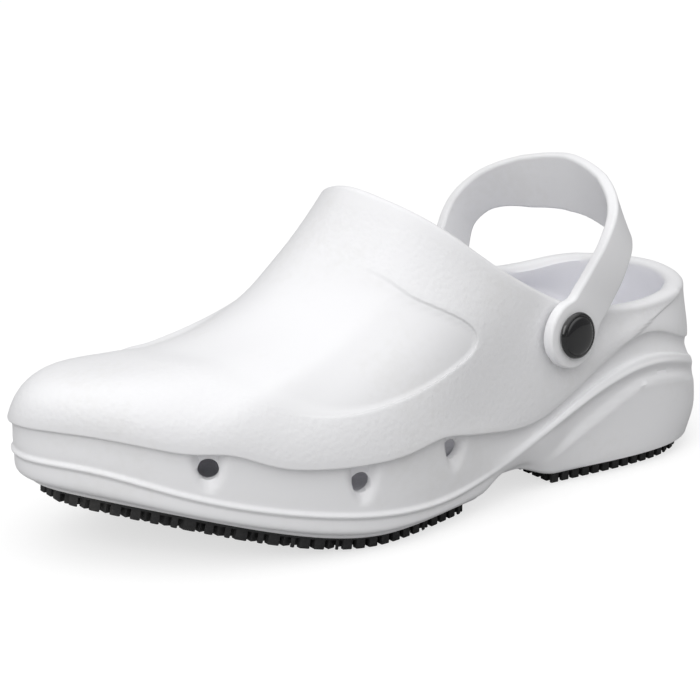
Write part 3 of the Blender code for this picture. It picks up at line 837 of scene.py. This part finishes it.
        side = self.side(at)
        for ring in self.underside(side[0]) + side:
            lay(ring)
        for share in np.linspace(0, 1, self.upper_rows) ** self.upper_crowd:
            depth, inside, crisp = self.panel.depths(self.last, at, share)
            bulge = self.bulge(at, share)
            out = (bulge - depth)[:, None] * self.last.normal(at, share)
            heel = 1 - (1 - ease(*self.grain_heel_x, self.last.read("x", at))) * (1 - bulge / self.crease)
            grain = (1 - ease(*self.grain_edge, inside)) * float(window(self.grain_shares, share)) * heel
            lay(self.last.upper(at, share) + out, grain=grain, panel=inside, crisp=crisp)
        for ring in self.collar(at):
            lay(ring)
        lining = self.inside(at)
        for ring in lining + self.footbed(lining[-1]):
            # The inside and footbed get inner 1, the painted lighter tint, rising to 2 towards the toe for
            # painted shade.
            lay(ring, inner=1.0 + ease(*self.toe_shade_x, ring[:, 0]))
        table = {name: np.array([row[name] for row in marks]) for name in PLAIN_MARKS}
        piece = wrapped_sheet("clog_body", rings, table)
        drill(piece, self.bores(axes))
        smooth_shading(piece, self.sharp)
        return piece


@dataclass(frozen=True)
class StrapRow:
    """A section of half the strap: centre, lean of its width to the toe in degrees, width, thickness."""

    x: float
    y: float
    z: float
    lean: float
    width: float
    thick: float


@dataclass
class HeelStrap:
    """The moulded heel strap with a round eye at each end."""

    axes: Axes
    rows: tuple[StrapRow, ...] = (
        StrapRow(86, 40.6, 56.0, 55, 23, 4.2), StrapRow(75, 41.0, 67.5, 56, 17, 4.2),
        StrapRow(68, 41.0, 80.0, 46, 15, 4.2), StrapRow(61.5, 37.5, 88.0, 32, 15.5, 4.2),
        StrapRow(53, 20.5, 94.5, 14, 20, 4.2), StrapRow(50, 0.0, 97.0, 10, 21.5, 4.2))
    eye_radius: float = 11.6
    off: float = 1.4
    edge: float = 1.3
    laid: tuple[float, float] = (10.0, 26.0)
    sections: int = 110
    eye_run: float = 16.0
    eye_step: float = 1.2
    leg_from: float = 17.0
    neck_power: int = 10
    probe: float = 0.2
    sharp: float = 50.0

    def path(self) -> tuple[np.ndarray, np.ndarray, dict[str, np.ndarray]]:
        """Centre line from rivet to rivet, its length along, and lean, width and thickness on it."""
        lines = {}
        for side in Side:
            seat, axis = self.axes[side]
            place = np.array([(r.x, r.y * side.value, r.z) for r in self.rows])
            place[0] = seat + axis * (self.off + self.rows[0].thick / 2)
            place[1] -= axis * ((place[1] - place[0]) @ axis)
            lines[side] = place
        full = np.vstack([lines[Side.LATERAL], lines[Side.MEDIAL][-2::-1]])
        along = np.concatenate([[0.0], np.cumsum(np.linalg.norm(np.diff(full, axis=0), axis=1))])
        values = {}
        for name in ("lean", "width", "thick"):
            half = np.array([getattr(r, name) for r in self.rows])
            values[name] = np.concatenate([half, half[-2::-1]])
        values["width"][[0, -1]] = self.rows[1].width
        return full, along, values

    @staticmethod
    def rounded(width: float, thick: float, radius: float, per_corner: int = 7) -> np.ndarray:
        """Points of a rectangle with rounded corners, round its middle."""
        radius = min(radius, width / 2.1, thick / 2.1)
        points = []
        for turn, (a, b) in enumerate(((1, 1), (-1, 1), (-1, -1), (1, -1))):
            corner = np.array([a * (width / 2 - radius), b * (thick / 2 - radius)])
            for t in np.linspace(0, math.pi / 2, per_corner) + turn * math.pi / 2:
                points.append(corner + radius * np.array([math.cos(t), math.sin(t)]))
        return np.array(points)

    def rings(self) -> list[np.ndarray]:
        """Closed sections along the strap, with a point at each tip."""
        full, along, values = self.path()
        length = along[-1]
        curve = [Spline(along, full[:, k]) for k in range(3)]
        tail = self.eye_radius * np.sin(np.radians(np.linspace(88, 6, 14)))
        eye = np.arange(0, self.eye_run, self.eye_step)
        leg = np.linspace(self.leg_from, length - self.leg_from, self.sections)
        inner = np.concatenate([eye, leg, length - eye[::-1]])
        rings = []
        for place in np.concatenate([-tail, inner, length + tail[::-1]]):
            s = min(max(place, 0.0), length)
            centre = np.array([c(s) for c in curve])
            near = (max(s - self.probe, 0.0), min(s + self.probe, length))
            ends = [np.array([c(t) for c in curve]) for t in near]
            tangent = unit(ends[1] - ends[0])
            lean = math.radians(np.interp(s, along, values["lean"]))
            reach = min(s, length - s)
            blend = float(ease(*self.laid, reach))
            axis = self.axes[Side.LATERAL if s < length / 2 else Side.MEDIAL][1]
            free = unit(np.cross(tangent, np.array([math.sin(lean), 0.0, math.cos(lean)])))
            out = unit(axis * (1 - blend) + free * blend)
            tangent = unit(tangent - out * (tangent @ out))
            wide = np.cross(out, tangent)
            over = abs(place - s)
            chord = 2 * math.sqrt(max(self.eye_radius ** 2 - (over or reach) ** 2, 0.01))
            leg_width = float(np.interp(s, along, values["width"]))
            power = self.neck_power
            width = chord if over else (leg_width ** power + chord ** power) ** (1 / power)
            past = max(over - (self.eye_radius - self.edge), 0.0)
            thick = float(np.interp(s, along, values["thick"]))
            thick -= 2 * (self.edge - math.sqrt(max(self.edge ** 2 - past ** 2, 0.0)))
            shape = self.rounded(width, thick, self.edge)
            rings.append(centre + tangent * (place - s) + shape[:, :1] * wide + shape[:, 1:] * out)
        tips = [np.repeat(rings[k].mean(0)[None], len(rings[k]), 0) for k in (0, -1)]
        return [tips[0]] + rings + [tips[1]]

    def build(self) -> bpy.types.Object:
        """Model the strap and drill its eyes."""
        rings = self.rings()
        shape = (len(rings), len(rings[0]))
        marks = {name: np.full(shape, value) for name, value in PLAIN_MARKS.items()}
        piece = wrapped_sheet("clog_heel_strap", rings, marks)
        drill(piece, [Bore(*self.axes[side], SHANK_HOLE, *SHANK_ENDS) for side in Side])
        smooth_shading(piece, self.sharp)
        return piece


@dataclass
class Rivet:
    """A snap rivet's cap and shank, turned about its axis."""

    name: str
    seat: np.ndarray
    axis: np.ndarray
    shank: float = 3.0
    shank_round: float = 0.4
    inside: float = -5.9
    face: float = 5.65
    cap: float = 8.0
    cap_height: float = 3.2
    cap_round: float = 0.5
    rim: float = 1.0
    shoulder: tuple[tuple[float, float], ...] = (
        (0.0, 0.0), (0.15, 0.55), (0.5, 0.95), (1.0, 1.15), (1.25, 1.0), (1.5, 1.05))
    crown: float = 0.8
    crown_over: float = 1.1
    sides: int = 72
    sharp: float = 35.0

    def profile(self) -> list[tuple[float, float]]:
        """Radius and height of each ring, from the shank's end to the crown."""
        rim, top = self.face + self.rim, self.face + self.cap_height
        bend, foot = self.cap_round, rim + self.crown_over
        low = [(self.shank - self.shank_round, self.inside), (self.shank, self.inside + self.shank_round),
               (self.shank, self.face), (self.cap - bend, self.face)]
        edge = [(self.cap - bend + bend * math.sin(t), rim - bend + bend * (1 - math.cos(t)))
                for t in np.radians((45, 90))]
        shoulder = [(self.cap - inwards, rim + up) for inwards, up in self.shoulder]
        crown = [(self.cap * self.crown * math.cos(t), foot + (top - foot) * math.sin(t))
                 for t in np.radians((0, 12, 25, 40, 55, 70, 82))]
        return low + edge + shoulder + crown

    def build(self) -> bpy.types.Object:
        """Extrude a circle ring by ring up the profile and close both ends."""
        rings = self.profile()
        start_fresh()
        bpy.ops.mesh.primitive_circle_add(vertices=self.sides, radius=rings[0][0] * MM, fill_type="NGON")
        piece = bpy.context.object
        piece.name = self.name
        piece.data.name = self.name
        with edit_mode():
            bpy.ops.mesh.select_all(action="SELECT")
            bpy.ops.mesh.edge_face_add()
            for (radius, height), (wider, higher) in zip(rings, rings[1:]):
                bpy.ops.mesh.extrude_region_move(
                    TRANSFORM_OT_translate={"value": (0.0, 0.0, (higher - height) * MM)})
                bpy.ops.transform.resize(value=(wider / radius, wider / radius, 1.0))
            bpy.ops.mesh.select_all(action="SELECT")
            bpy.ops.mesh.normals_make_consistent(inside=False)
        piece.rotation_euler = Vector(self.axis).to_track_quat("Z", "Y").to_euler()
        piece.location = (self.seat + self.axis * rings[0][1] - ORIGIN) * MM
        bpy.ops.object.transform_apply(location=True, rotation=True, scale=True)
        smooth_shading(piece, self.sharp)
        return piece


@dataclass
class TreadPad:
    """A rubber tread pad: a thin base under the foam with rows of small square lugs."""

    last: Last
    name: str
    node: str
    rear: float
    front: float
    rows: int
    cells: int
    inset: float = 1.2
    base: float = 0.8
    lug_deep: float = 3.5
    lug_gap: float = 0.7
    lug_round: float = 0.35
    merge: float = 0.02
    tip_share: float = 0.6
    samples: int = 720
    sharp: float = 40.0

    def plan(self) -> np.ndarray:
        """Plan points of the lug grid, a row across the shoe at each step along it."""
        at = self.last.spread(self.samples)
        edge = self.last.outline(at, -self.last.read("low_in", at) - self.last.edge_round - self.inset)
        loop = np.roll(edge, -int(np.argmin(edge[:, 0])), 0)
        toe = int(np.argmax(loop[:, 0]))
        medial, lateral = loop[:toe + 1], np.vstack([loop[toe:], loop[:1]])[::-1]
        xs = np.linspace(self.rear, self.front, self.rows + 1)
        left = np.interp(xs, lateral[:, 0], lateral[:, 1])
        right = np.interp(xs, medial[:, 0], medial[:, 1])
        lines = np.linspace(left.max(), right.min(), self.cells + 1)
        near = 0.5 * (lines[0] - lines[1])
        rows = []
        for x, high, low in zip(xs, left, right):
            across = np.where(lines > high - near, high, np.where(lines < low + near, low, lines))
            rows.append(np.column_stack([np.full(len(lines), x), across]))
        return np.array(rows)

    def build(self) -> bpy.types.Object:
        """Lay a grid under the foam, give it thickness, then inset, extrude and round every lug."""
        plan = self.plan()
        piece, across, along = new_grid(self.name, self.cells, self.rows)
        flat_plan = plan[along, across]
        under = self.last.tread(flat_plan[:, 0]) - SEAT - self.base
        set_points(piece, lifted(flat_plan, under))
        with edit_mode():
            bpy.ops.mesh.select_mode(type="FACE")
            bpy.ops.mesh.select_all(action="SELECT")
            bpy.ops.mesh.remove_doubles(threshold=self.merge * MM)
            bpy.ops.mesh.select_all(action="SELECT")
            bpy.ops.mesh.extrude_region_move(TRANSFORM_OT_translate={"value": (0.0, 0.0, self.base * MM)})
            bpy.ops.mesh.select_all(action="SELECT")
            bpy.ops.mesh.normals_make_consistent(inside=False)
            bpy.ops.mesh.select_all(action="DESELECT")
        for face in piece.data.polygons:
            face.select = face.normal.z < -0.5
        with edit_mode():
            bpy.ops.mesh.inset(thickness=self.lug_gap * MM, depth=0.0, use_individual=True)
            bpy.ops.mesh.extrude_faces_move(TRANSFORM_OT_shrink_fatten={"value": self.lug_deep * MM})
        self.select_lug_edges(piece)
        with edit_mode():
            bpy.ops.mesh.bevel(offset=self.lug_round * MM, segments=2, affect="EDGES")
        smooth_shading(piece, self.sharp)
        return piece

    def select_lug_edges(self, piece: bpy.types.Object) -> None:
        """Select the edges of each lug's tip and the upright edges that lead to it."""
        with edit_mode():
            bpy.ops.mesh.select_mode(type="EDGE")
            bpy.ops.mesh.select_all(action="DESELECT")
        points = points_of(piece) / MM + ORIGIN
        tip = points[:, 2] < self.last.tread(points[:, 0]) - SEAT - self.base - self.tip_share * self.lug_deep
        for edge in piece.data.edges:
            edge.select = bool(tip[edge.vertices[0]] or tip[edge.vertices[1]])


@dataclass
class Insole:
    """The loose insole in the cup, a little dished at its edge."""

    last: Last
    inset: float = 9.6
    over: float = 0.5
    thick: float = 3.4
    dish: float = 0.5
    dish_over: float = 0.45
    low_round: float = 0.8
    top_round: float = 1.4
    columns: int = 240
    under_rows: int = 7
    top_rows: int = 13
    sharp: float = 50.0

    def build(self) -> bpy.types.Object:
        """Model the insole as a closed pad with a rounded edge."""
        last = self.last
        at = last.spread(self.columns)
        bend, turn_in = self.low_round, self.top_round

        def ring(extra: float, lift: float) -> np.ndarray:
            """A ring inside the insole's outline, at a height above its underside."""
            edge = last.outline(at, -self.inset - extra)
            return lifted(edge, last.footbed(edge[:, 0]) + self.over + lift)

        def fill(edge: np.ndarray, lift: float, dish: float, shares: np.ndarray) -> list[np.ndarray]:
            """Rings from an edge to the middle line, sunk by the dish."""
            rings = []
            for share in shares:
                plan = drawn_in(edge, share)
                sunk = dish * float(ease(0.0, self.dish_over, share))
                rings.append(lifted(plan, last.footbed(plan[:, 0]) + self.over + lift - sunk))
            return rings

        low, high = ring(bend, 0.0), ring(turn_in, self.thick)
        rings = fill(low, 0.0, 0.0, np.linspace(1, 0, self.under_rows + 1)[:-1]) + [low]
        for turn in np.radians((25, 60, 90)):
            rings.append(ring(bend - bend * math.sin(turn), bend * (1 - math.cos(turn))))
        for turn in np.radians((0, 30, 60)):
            lift = self.thick - turn_in + turn_in * math.sin(turn)
            rings.append(ring(turn_in * (1 - math.cos(turn)), lift))
        shares = np.linspace(0, 1, self.top_rows + 1)[1:]
        rings += [high] + fill(high, self.thick, self.dish, shares)
        piece = wrapped_sheet("clog_insole", rings, {})
        smooth_shading(piece, self.sharp)
        return piece


# For an input's name or number, the socket that feeds it or its fixed value.
Inputs = dict[str | int, object]


class NodeTree:
    """Adds nodes to a shader tree and feeds their inputs."""

    def __init__(self, tree: bpy.types.NodeTree) -> None:
        """Keep the tree."""
        self.tree = tree

    def feed(self, target: bpy.types.NodeSocket, value: object) -> None:
        """Link a socket to an input, or give the input a fixed value."""
        if isinstance(value, bpy.types.NodeSocket):
            self.tree.links.new(value, target)
        elif target.type == "RGBA":
            target.default_value = (*value, 1.0)
        else:
            target.default_value = value

    def add(self, kind: str, inputs: Inputs | None = None, **settings: object) -> bpy.types.Node:
        """Add a node, set its own settings and feed its inputs.

        Args:
            kind: the node's type name.
            inputs: what feeds each input that isn't left as it is.
            settings: settings of the node.

        Returns:
            The new node.
        """
        node = self.tree.nodes.new(kind)
        for name, value in settings.items():
            setattr(node, name, value)
        for key, value in (inputs or {}).items():
            self.feed(node.inputs[key], value)
        return node

    def attribute(self, name: str) -> bpy.types.NodeSocket:
        """The values of a point attribute."""
        return self.add("ShaderNodeAttribute", attribute_name=name).outputs["Fac"]

    def math(self, operation: str, a: object, b: object) -> bpy.types.NodeSocket:
        """A sum of two values, each a socket or a number."""
        return self.add("ShaderNodeMath", {0: a, 1: b}, operation=operation).outputs[0]

    def mix(self, share: object, low: object, high: object) -> bpy.types.NodeSocket:
        """A colour between two, by a share; each is a socket or a fixed value."""
        return self.add("ShaderNodeMix", {0: share, 6: low, 7: high}, data_type="RGBA").outputs[2]

    def ramp(self, value: bpy.types.NodeSocket, start: float, end: float, low: float = 0.0,
             high: float = 1.0, kind: str = "SMOOTHSTEP") -> bpy.types.NodeSocket:
        """Carry a value from one range over to another.

        Args:
            value: the socket that is read.
            start: value at which the result is low.
            end: value at which it is high.
            low: result at the start and before it.
            high: result at the end and after it.
            kind: how it goes from one to the other.

        Returns:
            The result's socket.
        """
        inputs = {"Value": value, "From Min": start, "From Max": end, "To Min": low, "To Max": high}
        return self.add("ShaderNodeMapRange", inputs, interpolation_type=kind).outputs["Result"]

    def noise(self, vector: bpy.types.NodeSocket, scale: float, detail: float) -> bpy.types.Node:
        """Noise at a scale per metre."""
        return self.add("ShaderNodeTexNoise", {"Vector": vector, "Scale": scale, "Detail": detail})


class Effects:
    """Shader groups that more than one finish uses, with their scales per metre."""

    warp_scale: float = 420.0
    warp_reach: float = 0.0011
    tooth_scale: float = 2600.0
    tooth_share: float = 0.35
    patch_scale: float = 28.0
    patch_share: float = 0.6
    speckle_scale: float = 340.0
    speckle_share: float = 0.4
    mask_range: tuple[float, float] = (0.5, 0.78)

    def __init__(self) -> None:
        """Build each group once."""
        self.grain = self.pebble_grain()
        self.marks = self.handling_marks()

    @staticmethod
    def group(name: str, inputs: tuple[tuple[str, str], ...],
              outputs: tuple[str, ...]) -> tuple[NodeTree, bpy.types.Node, bpy.types.Node]:
        """Start a node group.

        Args:
            name: the group's name.
            inputs: name and socket type of each input.
            outputs: names of its number outputs.

        Returns:
            The tree, and its input and output nodes.
        """
        tree = bpy.data.node_groups.new(name, "ShaderNodeTree")
        for socket, kind in inputs:
            tree.interface.new_socket(socket, in_out="INPUT", socket_type=kind)
        for socket in outputs:
            tree.interface.new_socket(socket, in_out="OUTPUT", socket_type="NodeSocketFloat")
        nodes = NodeTree(tree)
        return nodes, nodes.add("NodeGroupInput"), nodes.add("NodeGroupOutput")

    def pebble_grain(self) -> bpy.types.NodeTree:
        """Moulded pebble grain: raised cells with soft valleys, and a fine tooth on top."""
        nodes, start, end = self.group(
            "Pebble grain", (("Vector", "NodeSocketVector"), ("Scale", "NodeSocketFloat")), ("Height",))
        vector = start.outputs["Vector"]
        warp = nodes.noise(vector, self.warp_scale, 2.0).outputs["Color"]
        moved = nodes.add("ShaderNodeVectorMath", {0: warp, 1: (self.warp_reach,) * 3, 2: vector},
                          operation="MULTIPLY_ADD").outputs[0]
        cells = nodes.add("ShaderNodeTexVoronoi", feature="SMOOTH_F1",
                          inputs={"Vector": moved, "Scale": start.outputs["Scale"], "Smoothness": 0.5})
        fine = nodes.noise(vector, self.tooth_scale, 3.0).outputs["Fac"]
        tooth = nodes.math("MULTIPLY", fine, self.tooth_share)
        raised = nodes.math("SUBTRACT", 1.0, cells.outputs["Distance"])
        nodes.feed(end.inputs["Height"], nodes.math("ADD", raised, tooth))
        return nodes.tree

    def handling_marks(self) -> bpy.types.NodeTree:
        """Faint marks of handling: broad patches broken up by a finer speckle."""
        nodes, start, end = self.group(
            "Handling marks", (("Vector", "NodeSocketVector"), ("Amount", "NodeSocketFloat")),
            ("Mask", "Mottle"))
        vector = start.outputs["Vector"]
        patches = nodes.noise(vector, self.patch_scale, 4.0).outputs["Fac"]
        speckle = nodes.noise(vector, self.speckle_scale, 5.0).outputs["Fac"]
        broken = nodes.math("MULTIPLY", patches, nodes.math("ADD", speckle, 0.5))
        worn = nodes.ramp(broken, *self.mask_range)
        nodes.feed(end.inputs["Mask"], nodes.math("MULTIPLY", worn, start.outputs["Amount"]))
        mottle = nodes.math("ADD", nodes.math("MULTIPLY", patches, self.patch_share),
                            nodes.math("MULTIPLY", speckle, self.speckle_share))
        nodes.feed(end.inputs["Mottle"], mottle)
        return nodes.tree


@dataclass(frozen=True)
class Finish:
    """A surface finish: colours, roughness and the depth of its grain, in millimetres."""

    name: str
    colour: tuple[float, float, float]
    marked: tuple[float, float, float]
    marks: float
    roughness: tuple[float, float]
    grain_scale: float
    grain_depth: float
    # Painted light: the inside of the same foam painted a lighter, bluish white.
    inner: tuple[float, float, float] | None = None
    # Painted shade: the colour that the inside turns to towards the toe.
    deep: tuple[float, float, float] = (0.3, 0.3, 0.33)
    masked: bool = False
    smooth_grain: float = 0.06
    lip: tuple[float, float] = (-0.2, 0.7)
    lip_depth: float = 0.4
    mottle: tuple[float, float] = (0.3, 0.7)
    specular: float = 0.5
    coat: float = 0.0

    def material(self, effects: Effects) -> bpy.types.Material:
        """Build the finish as a material.

        Args:
            effects: the shared shader groups.

        Returns:
            The material.
        """
        material = bpy.data.materials.new(self.name)
        material.use_nodes = True
        nodes = NodeTree(material.node_tree)
        place = nodes.add("ShaderNodeTexCoord").outputs["Object"]
        marks = nodes.add("ShaderNodeGroup", {"Vector": place, "Amount": self.marks},
                          node_tree=effects.marks)
        colour = nodes.mix(marks.outputs["Mask"], self.colour, self.marked)
        # Painted light: a lighter, bluish tint over the inside, where inner reaches 1.
        if self.inner:
            inside = nodes.attribute("inner")
            colour = nodes.mix(inside, colour, self.inner)
            # Painted shade: darker towards the toe, where inner rises above 1.
            colour = nodes.mix(nodes.math("SUBTRACT", inside, 1.0), colour, self.deep)
        rough = nodes.ramp(marks.outputs["Mottle"], *self.mottle, *self.roughness, kind="LINEAR")
        grain = nodes.add("ShaderNodeGroup", {"Vector": place, "Scale": self.grain_scale},
                          node_tree=effects.grain)
        height = nodes.math("MULTIPLY", grain.outputs["Height"], self.grain_depth)
        if self.masked:
            height = self.shaped(nodes, height)
        bump = nodes.add("ShaderNodeBump", {"Distance": MM, "Height": height}).outputs["Normal"]
        shader = material.node_tree.nodes["Principled BSDF"]
        for name, value in (("Base Color", colour), ("Roughness", rough), ("Normal", bump),
                            ("Specular IOR Level", self.specular), ("Coat Weight", self.coat)):
            nodes.feed(shader.inputs[name], value)
        return material

    def shaped(self, nodes: NodeTree, height: bpy.types.NodeSocket) -> bpy.types.NodeSocket:
        """Keep the grain to the upper's grained parts and let the smooth panel in with a crisp lip.

        Args:
            nodes: the material's nodes.
            height: grain height in millimetres.

        Returns:
            Height with the panel's lip, in millimetres.
        """
        grain, panel, crisp = (nodes.attribute(name) for name in ("grain", "panel", "crisp"))
        grained = nodes.math("MULTIPLY", grain, 1 - self.smooth_grain)
        height = nodes.math("MULTIPLY", height, nodes.math("ADD", grained, self.smooth_grain))
        lip = nodes.ramp(panel, *self.lip, 0.0, self.lip_depth)
        return nodes.math("SUBTRACT", height, nodes.math("MULTIPLY", lip, crisp))


FINISHES: dict[Slot, Finish] = {
    # The foam's inside is painted lighter and bluish for painted light, and darker towards the toe for
    # painted shade.
    Slot.FOAM: Finish("White moulded foam", (0.87, 0.87, 0.885), (0.80, 0.795, 0.79), 0.35, (0.40, 0.52),
                      620.0, 0.10, inner=(0.90, 0.90, 0.93), masked=True, specular=0.4),
    Slot.TREAD: Finish("Black tread rubber", (0.022, 0.022, 0.023), (0.06, 0.058, 0.055), 0.5, (0.5, 0.7),
                       900.0, 0.12),
    Slot.INSOLE: Finish("White insole foam", (0.80, 0.80, 0.845), (0.72, 0.715, 0.73), 0.4, (0.65, 0.8),
                        760.0, 0.16),
    Slot.RIVET: Finish("Black gloss cap", (0.007, 0.007, 0.008), (0.02, 0.02, 0.021), 0.25, (0.06, 0.12),
                       300.0, 0.004, coat=0.6),
}


def rivet_axes(wall: float, washer: float = 1.6) -> Axes:
    """Seat on the wall and way out of each rivet, from its CAD pieces.

    Args:
        wall: thickness of the upper's wall.
        washer: thickness of the washer behind it.

    Returns:
        For each side, the seat in drawing millimetres and the direction out.
    """
    axes = {}
    for side, name in RIVET_NODES.items():
        cap, back = (np.mean([v.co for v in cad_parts[n].data.vertices], axis=0) / MM + ORIGIN
                     for n in (name, name + "_back"))
        axis = unit(cap - back)
        axes[side] = (back + axis * (wall + SEAT + washer / 2), axis)
    return axes


@dataclass
class Studio:
    """Pale floor, soft overhead light and the camera at the photo's angle."""

    target: tuple[float, float, float] = (148.0, 0.0, 51.5)
    turn: float = 36.0
    lift: float = 16.5
    distance: float = 650.0
    lens: float = 99.3
    sensor: float = 36.0
    floor_half: float = 6.0
    floor_bounce: float = 0.4
    floor_glow: float = 0.66
    dome_top: float = 1.3
    dome_side: float = 0.22
    dome_range: tuple[float, float] = (0.3, 0.9)
    dome_way: tuple[float, float, float] = (0.12, 0.18, 0.98)
    key_place: tuple[float, float, float] = (1.5, 0.7, 1.1)
    key_size: float = 1.4
    key_power: float = 12.0

    @staticmethod
    def hang(data: bpy.types.ID, place: np.ndarray, away: np.ndarray) -> bpy.types.Object:
        """Put a camera or a lamp at a place in metres, looking against a direction."""
        thing = bpy.data.objects.new(data.name, data)
        thing.location = place
        thing.rotation_euler = Vector(away).to_track_quat("Z", "Y").to_euler()
        bpy.context.scene.collection.objects.link(thing)
        return thing

    def camera(self) -> None:
        """Place the camera and make it the scene's own."""
        a, e = math.radians(self.turn), math.radians(self.lift)
        away = np.array([math.sin(a) * math.cos(e), math.cos(a) * math.cos(e), math.sin(e)])
        data = bpy.data.cameras.new("camera")
        data.lens = self.lens
        data.sensor_width = self.sensor
        data.sensor_fit = "HORIZONTAL"
        data.clip_start = 0.01
        place = (np.array(self.target) + away * self.distance - ORIGIN) * MM
        bpy.context.scene.camera = self.hang(data, place, away)

    def key(self) -> None:
        """A large square softbox ahead of the toe, aimed at the shoe."""
        data = bpy.data.lights.new("softbox", "AREA")
        data.size = self.key_size
        data.energy = self.key_power
        self.hang(data, self.key_place, self.key_place)

    def floor(self) -> None:
        """A plain white floor under the lug tips, lit through like a light table, so shadows stay faint."""
        start_fresh()
        bpy.ops.mesh.primitive_plane_add(size=2 * self.floor_half, location=(0.0, 0.0, 0.0))
        floor = bpy.context.object
        floor.name = "floor"
        material = bpy.data.materials.new("Pale floor")
        material.use_nodes = True
        own = material.node_tree.nodes
        own.remove(own["Principled BSDF"])
        nodes = NodeTree(material.node_tree)
        matt = nodes.add("ShaderNodeBsdfDiffuse", {"Color": (self.floor_bounce,) * 3}).outputs[0]
        glow = nodes.add("ShaderNodeEmission", {"Strength": self.floor_glow}).outputs[0]
        both = nodes.add("ShaderNodeAddShader", {0: matt, 1: glow}).outputs[0]
        sight = nodes.add("ShaderNodeLightPath").outputs["Is Camera Ray"]
        seen = nodes.add("ShaderNodeMixShader", {"Fac": sight, 1: matt, 2: both}).outputs[0]
        nodes.feed(own["Material Output"].inputs["Surface"], seen)
        floor.data.materials.append(material)

    def sky(self) -> None:
        """A soft dome of light, brightest overhead and to the toe, dim towards the horizon."""
        world = bpy.data.worlds.new("studio")
        world.use_nodes = True
        nodes = NodeTree(world.node_tree)
        way = nodes.add("ShaderNodeTexCoord").outputs["Generated"]
        facing = nodes.add("ShaderNodeVectorMath", {0: way, 1: self.dome_way}, operation="DOT_PRODUCT")
        level = nodes.ramp(facing.outputs["Value"], *self.dome_range, self.dome_side, self.dome_top)
        back = world.node_tree.nodes["Background"]
        nodes.feed(back.inputs["Color"], (1.0, 1.0, 1.0))
        nodes.feed(back.inputs["Strength"], level)
        bpy.context.scene.world = world

    def build(self) -> None:
        """Set up the whole studio."""
        self.floor()
        self.sky()
        self.key()
        bpy.context.scene.view_settings.view_transform = "Standard"
        self.camera()


def main() -> None:
    """Build every piece in order and dress it."""
    logging.basicConfig(level=logging.INFO, format="%(name)s %(message)s")
    effects = Effects()
    looks = {slot: finish.material(effects) for slot, finish in FINISHES.items()}
    last = Last()
    axes = rivet_axes(last.wall)
    hand_over(FoamBody(last).build(axes), looks[Slot.FOAM], Slot.FOAM, "upper_and_midsole")
    hand_over(HeelStrap(axes).build(), looks[Slot.FOAM], Slot.FOAM, "heel_strap")
    pads = (TreadPad(last, "clog_tread_forefoot", "outsole_forefoot",
                     rear=127.0, front=254.5, rows=28, cells=19),
            TreadPad(last, "clog_tread_heel", "outsole_heel", rear=9.0, front=86.0, rows=17, cells=15))
    for pad in pads:
        hand_over(pad.build(), looks[Slot.TREAD], Slot.TREAD, pad.node)
    insole = Insole(last).build()
    hand_over(insole, looks[Slot.INSOLE], Slot.INSOLE, "insole")
    for side, node in RIVET_NODES.items():
        hand_over(Rivet("clog_" + node, *axes[side]).build(), looks[Slot.RIVET], Slot.RIVET, node)
        dress(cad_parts[node + "_back"], looks[Slot.RIVET])
    Studio().build()


if __name__ == "__main__":
    main()
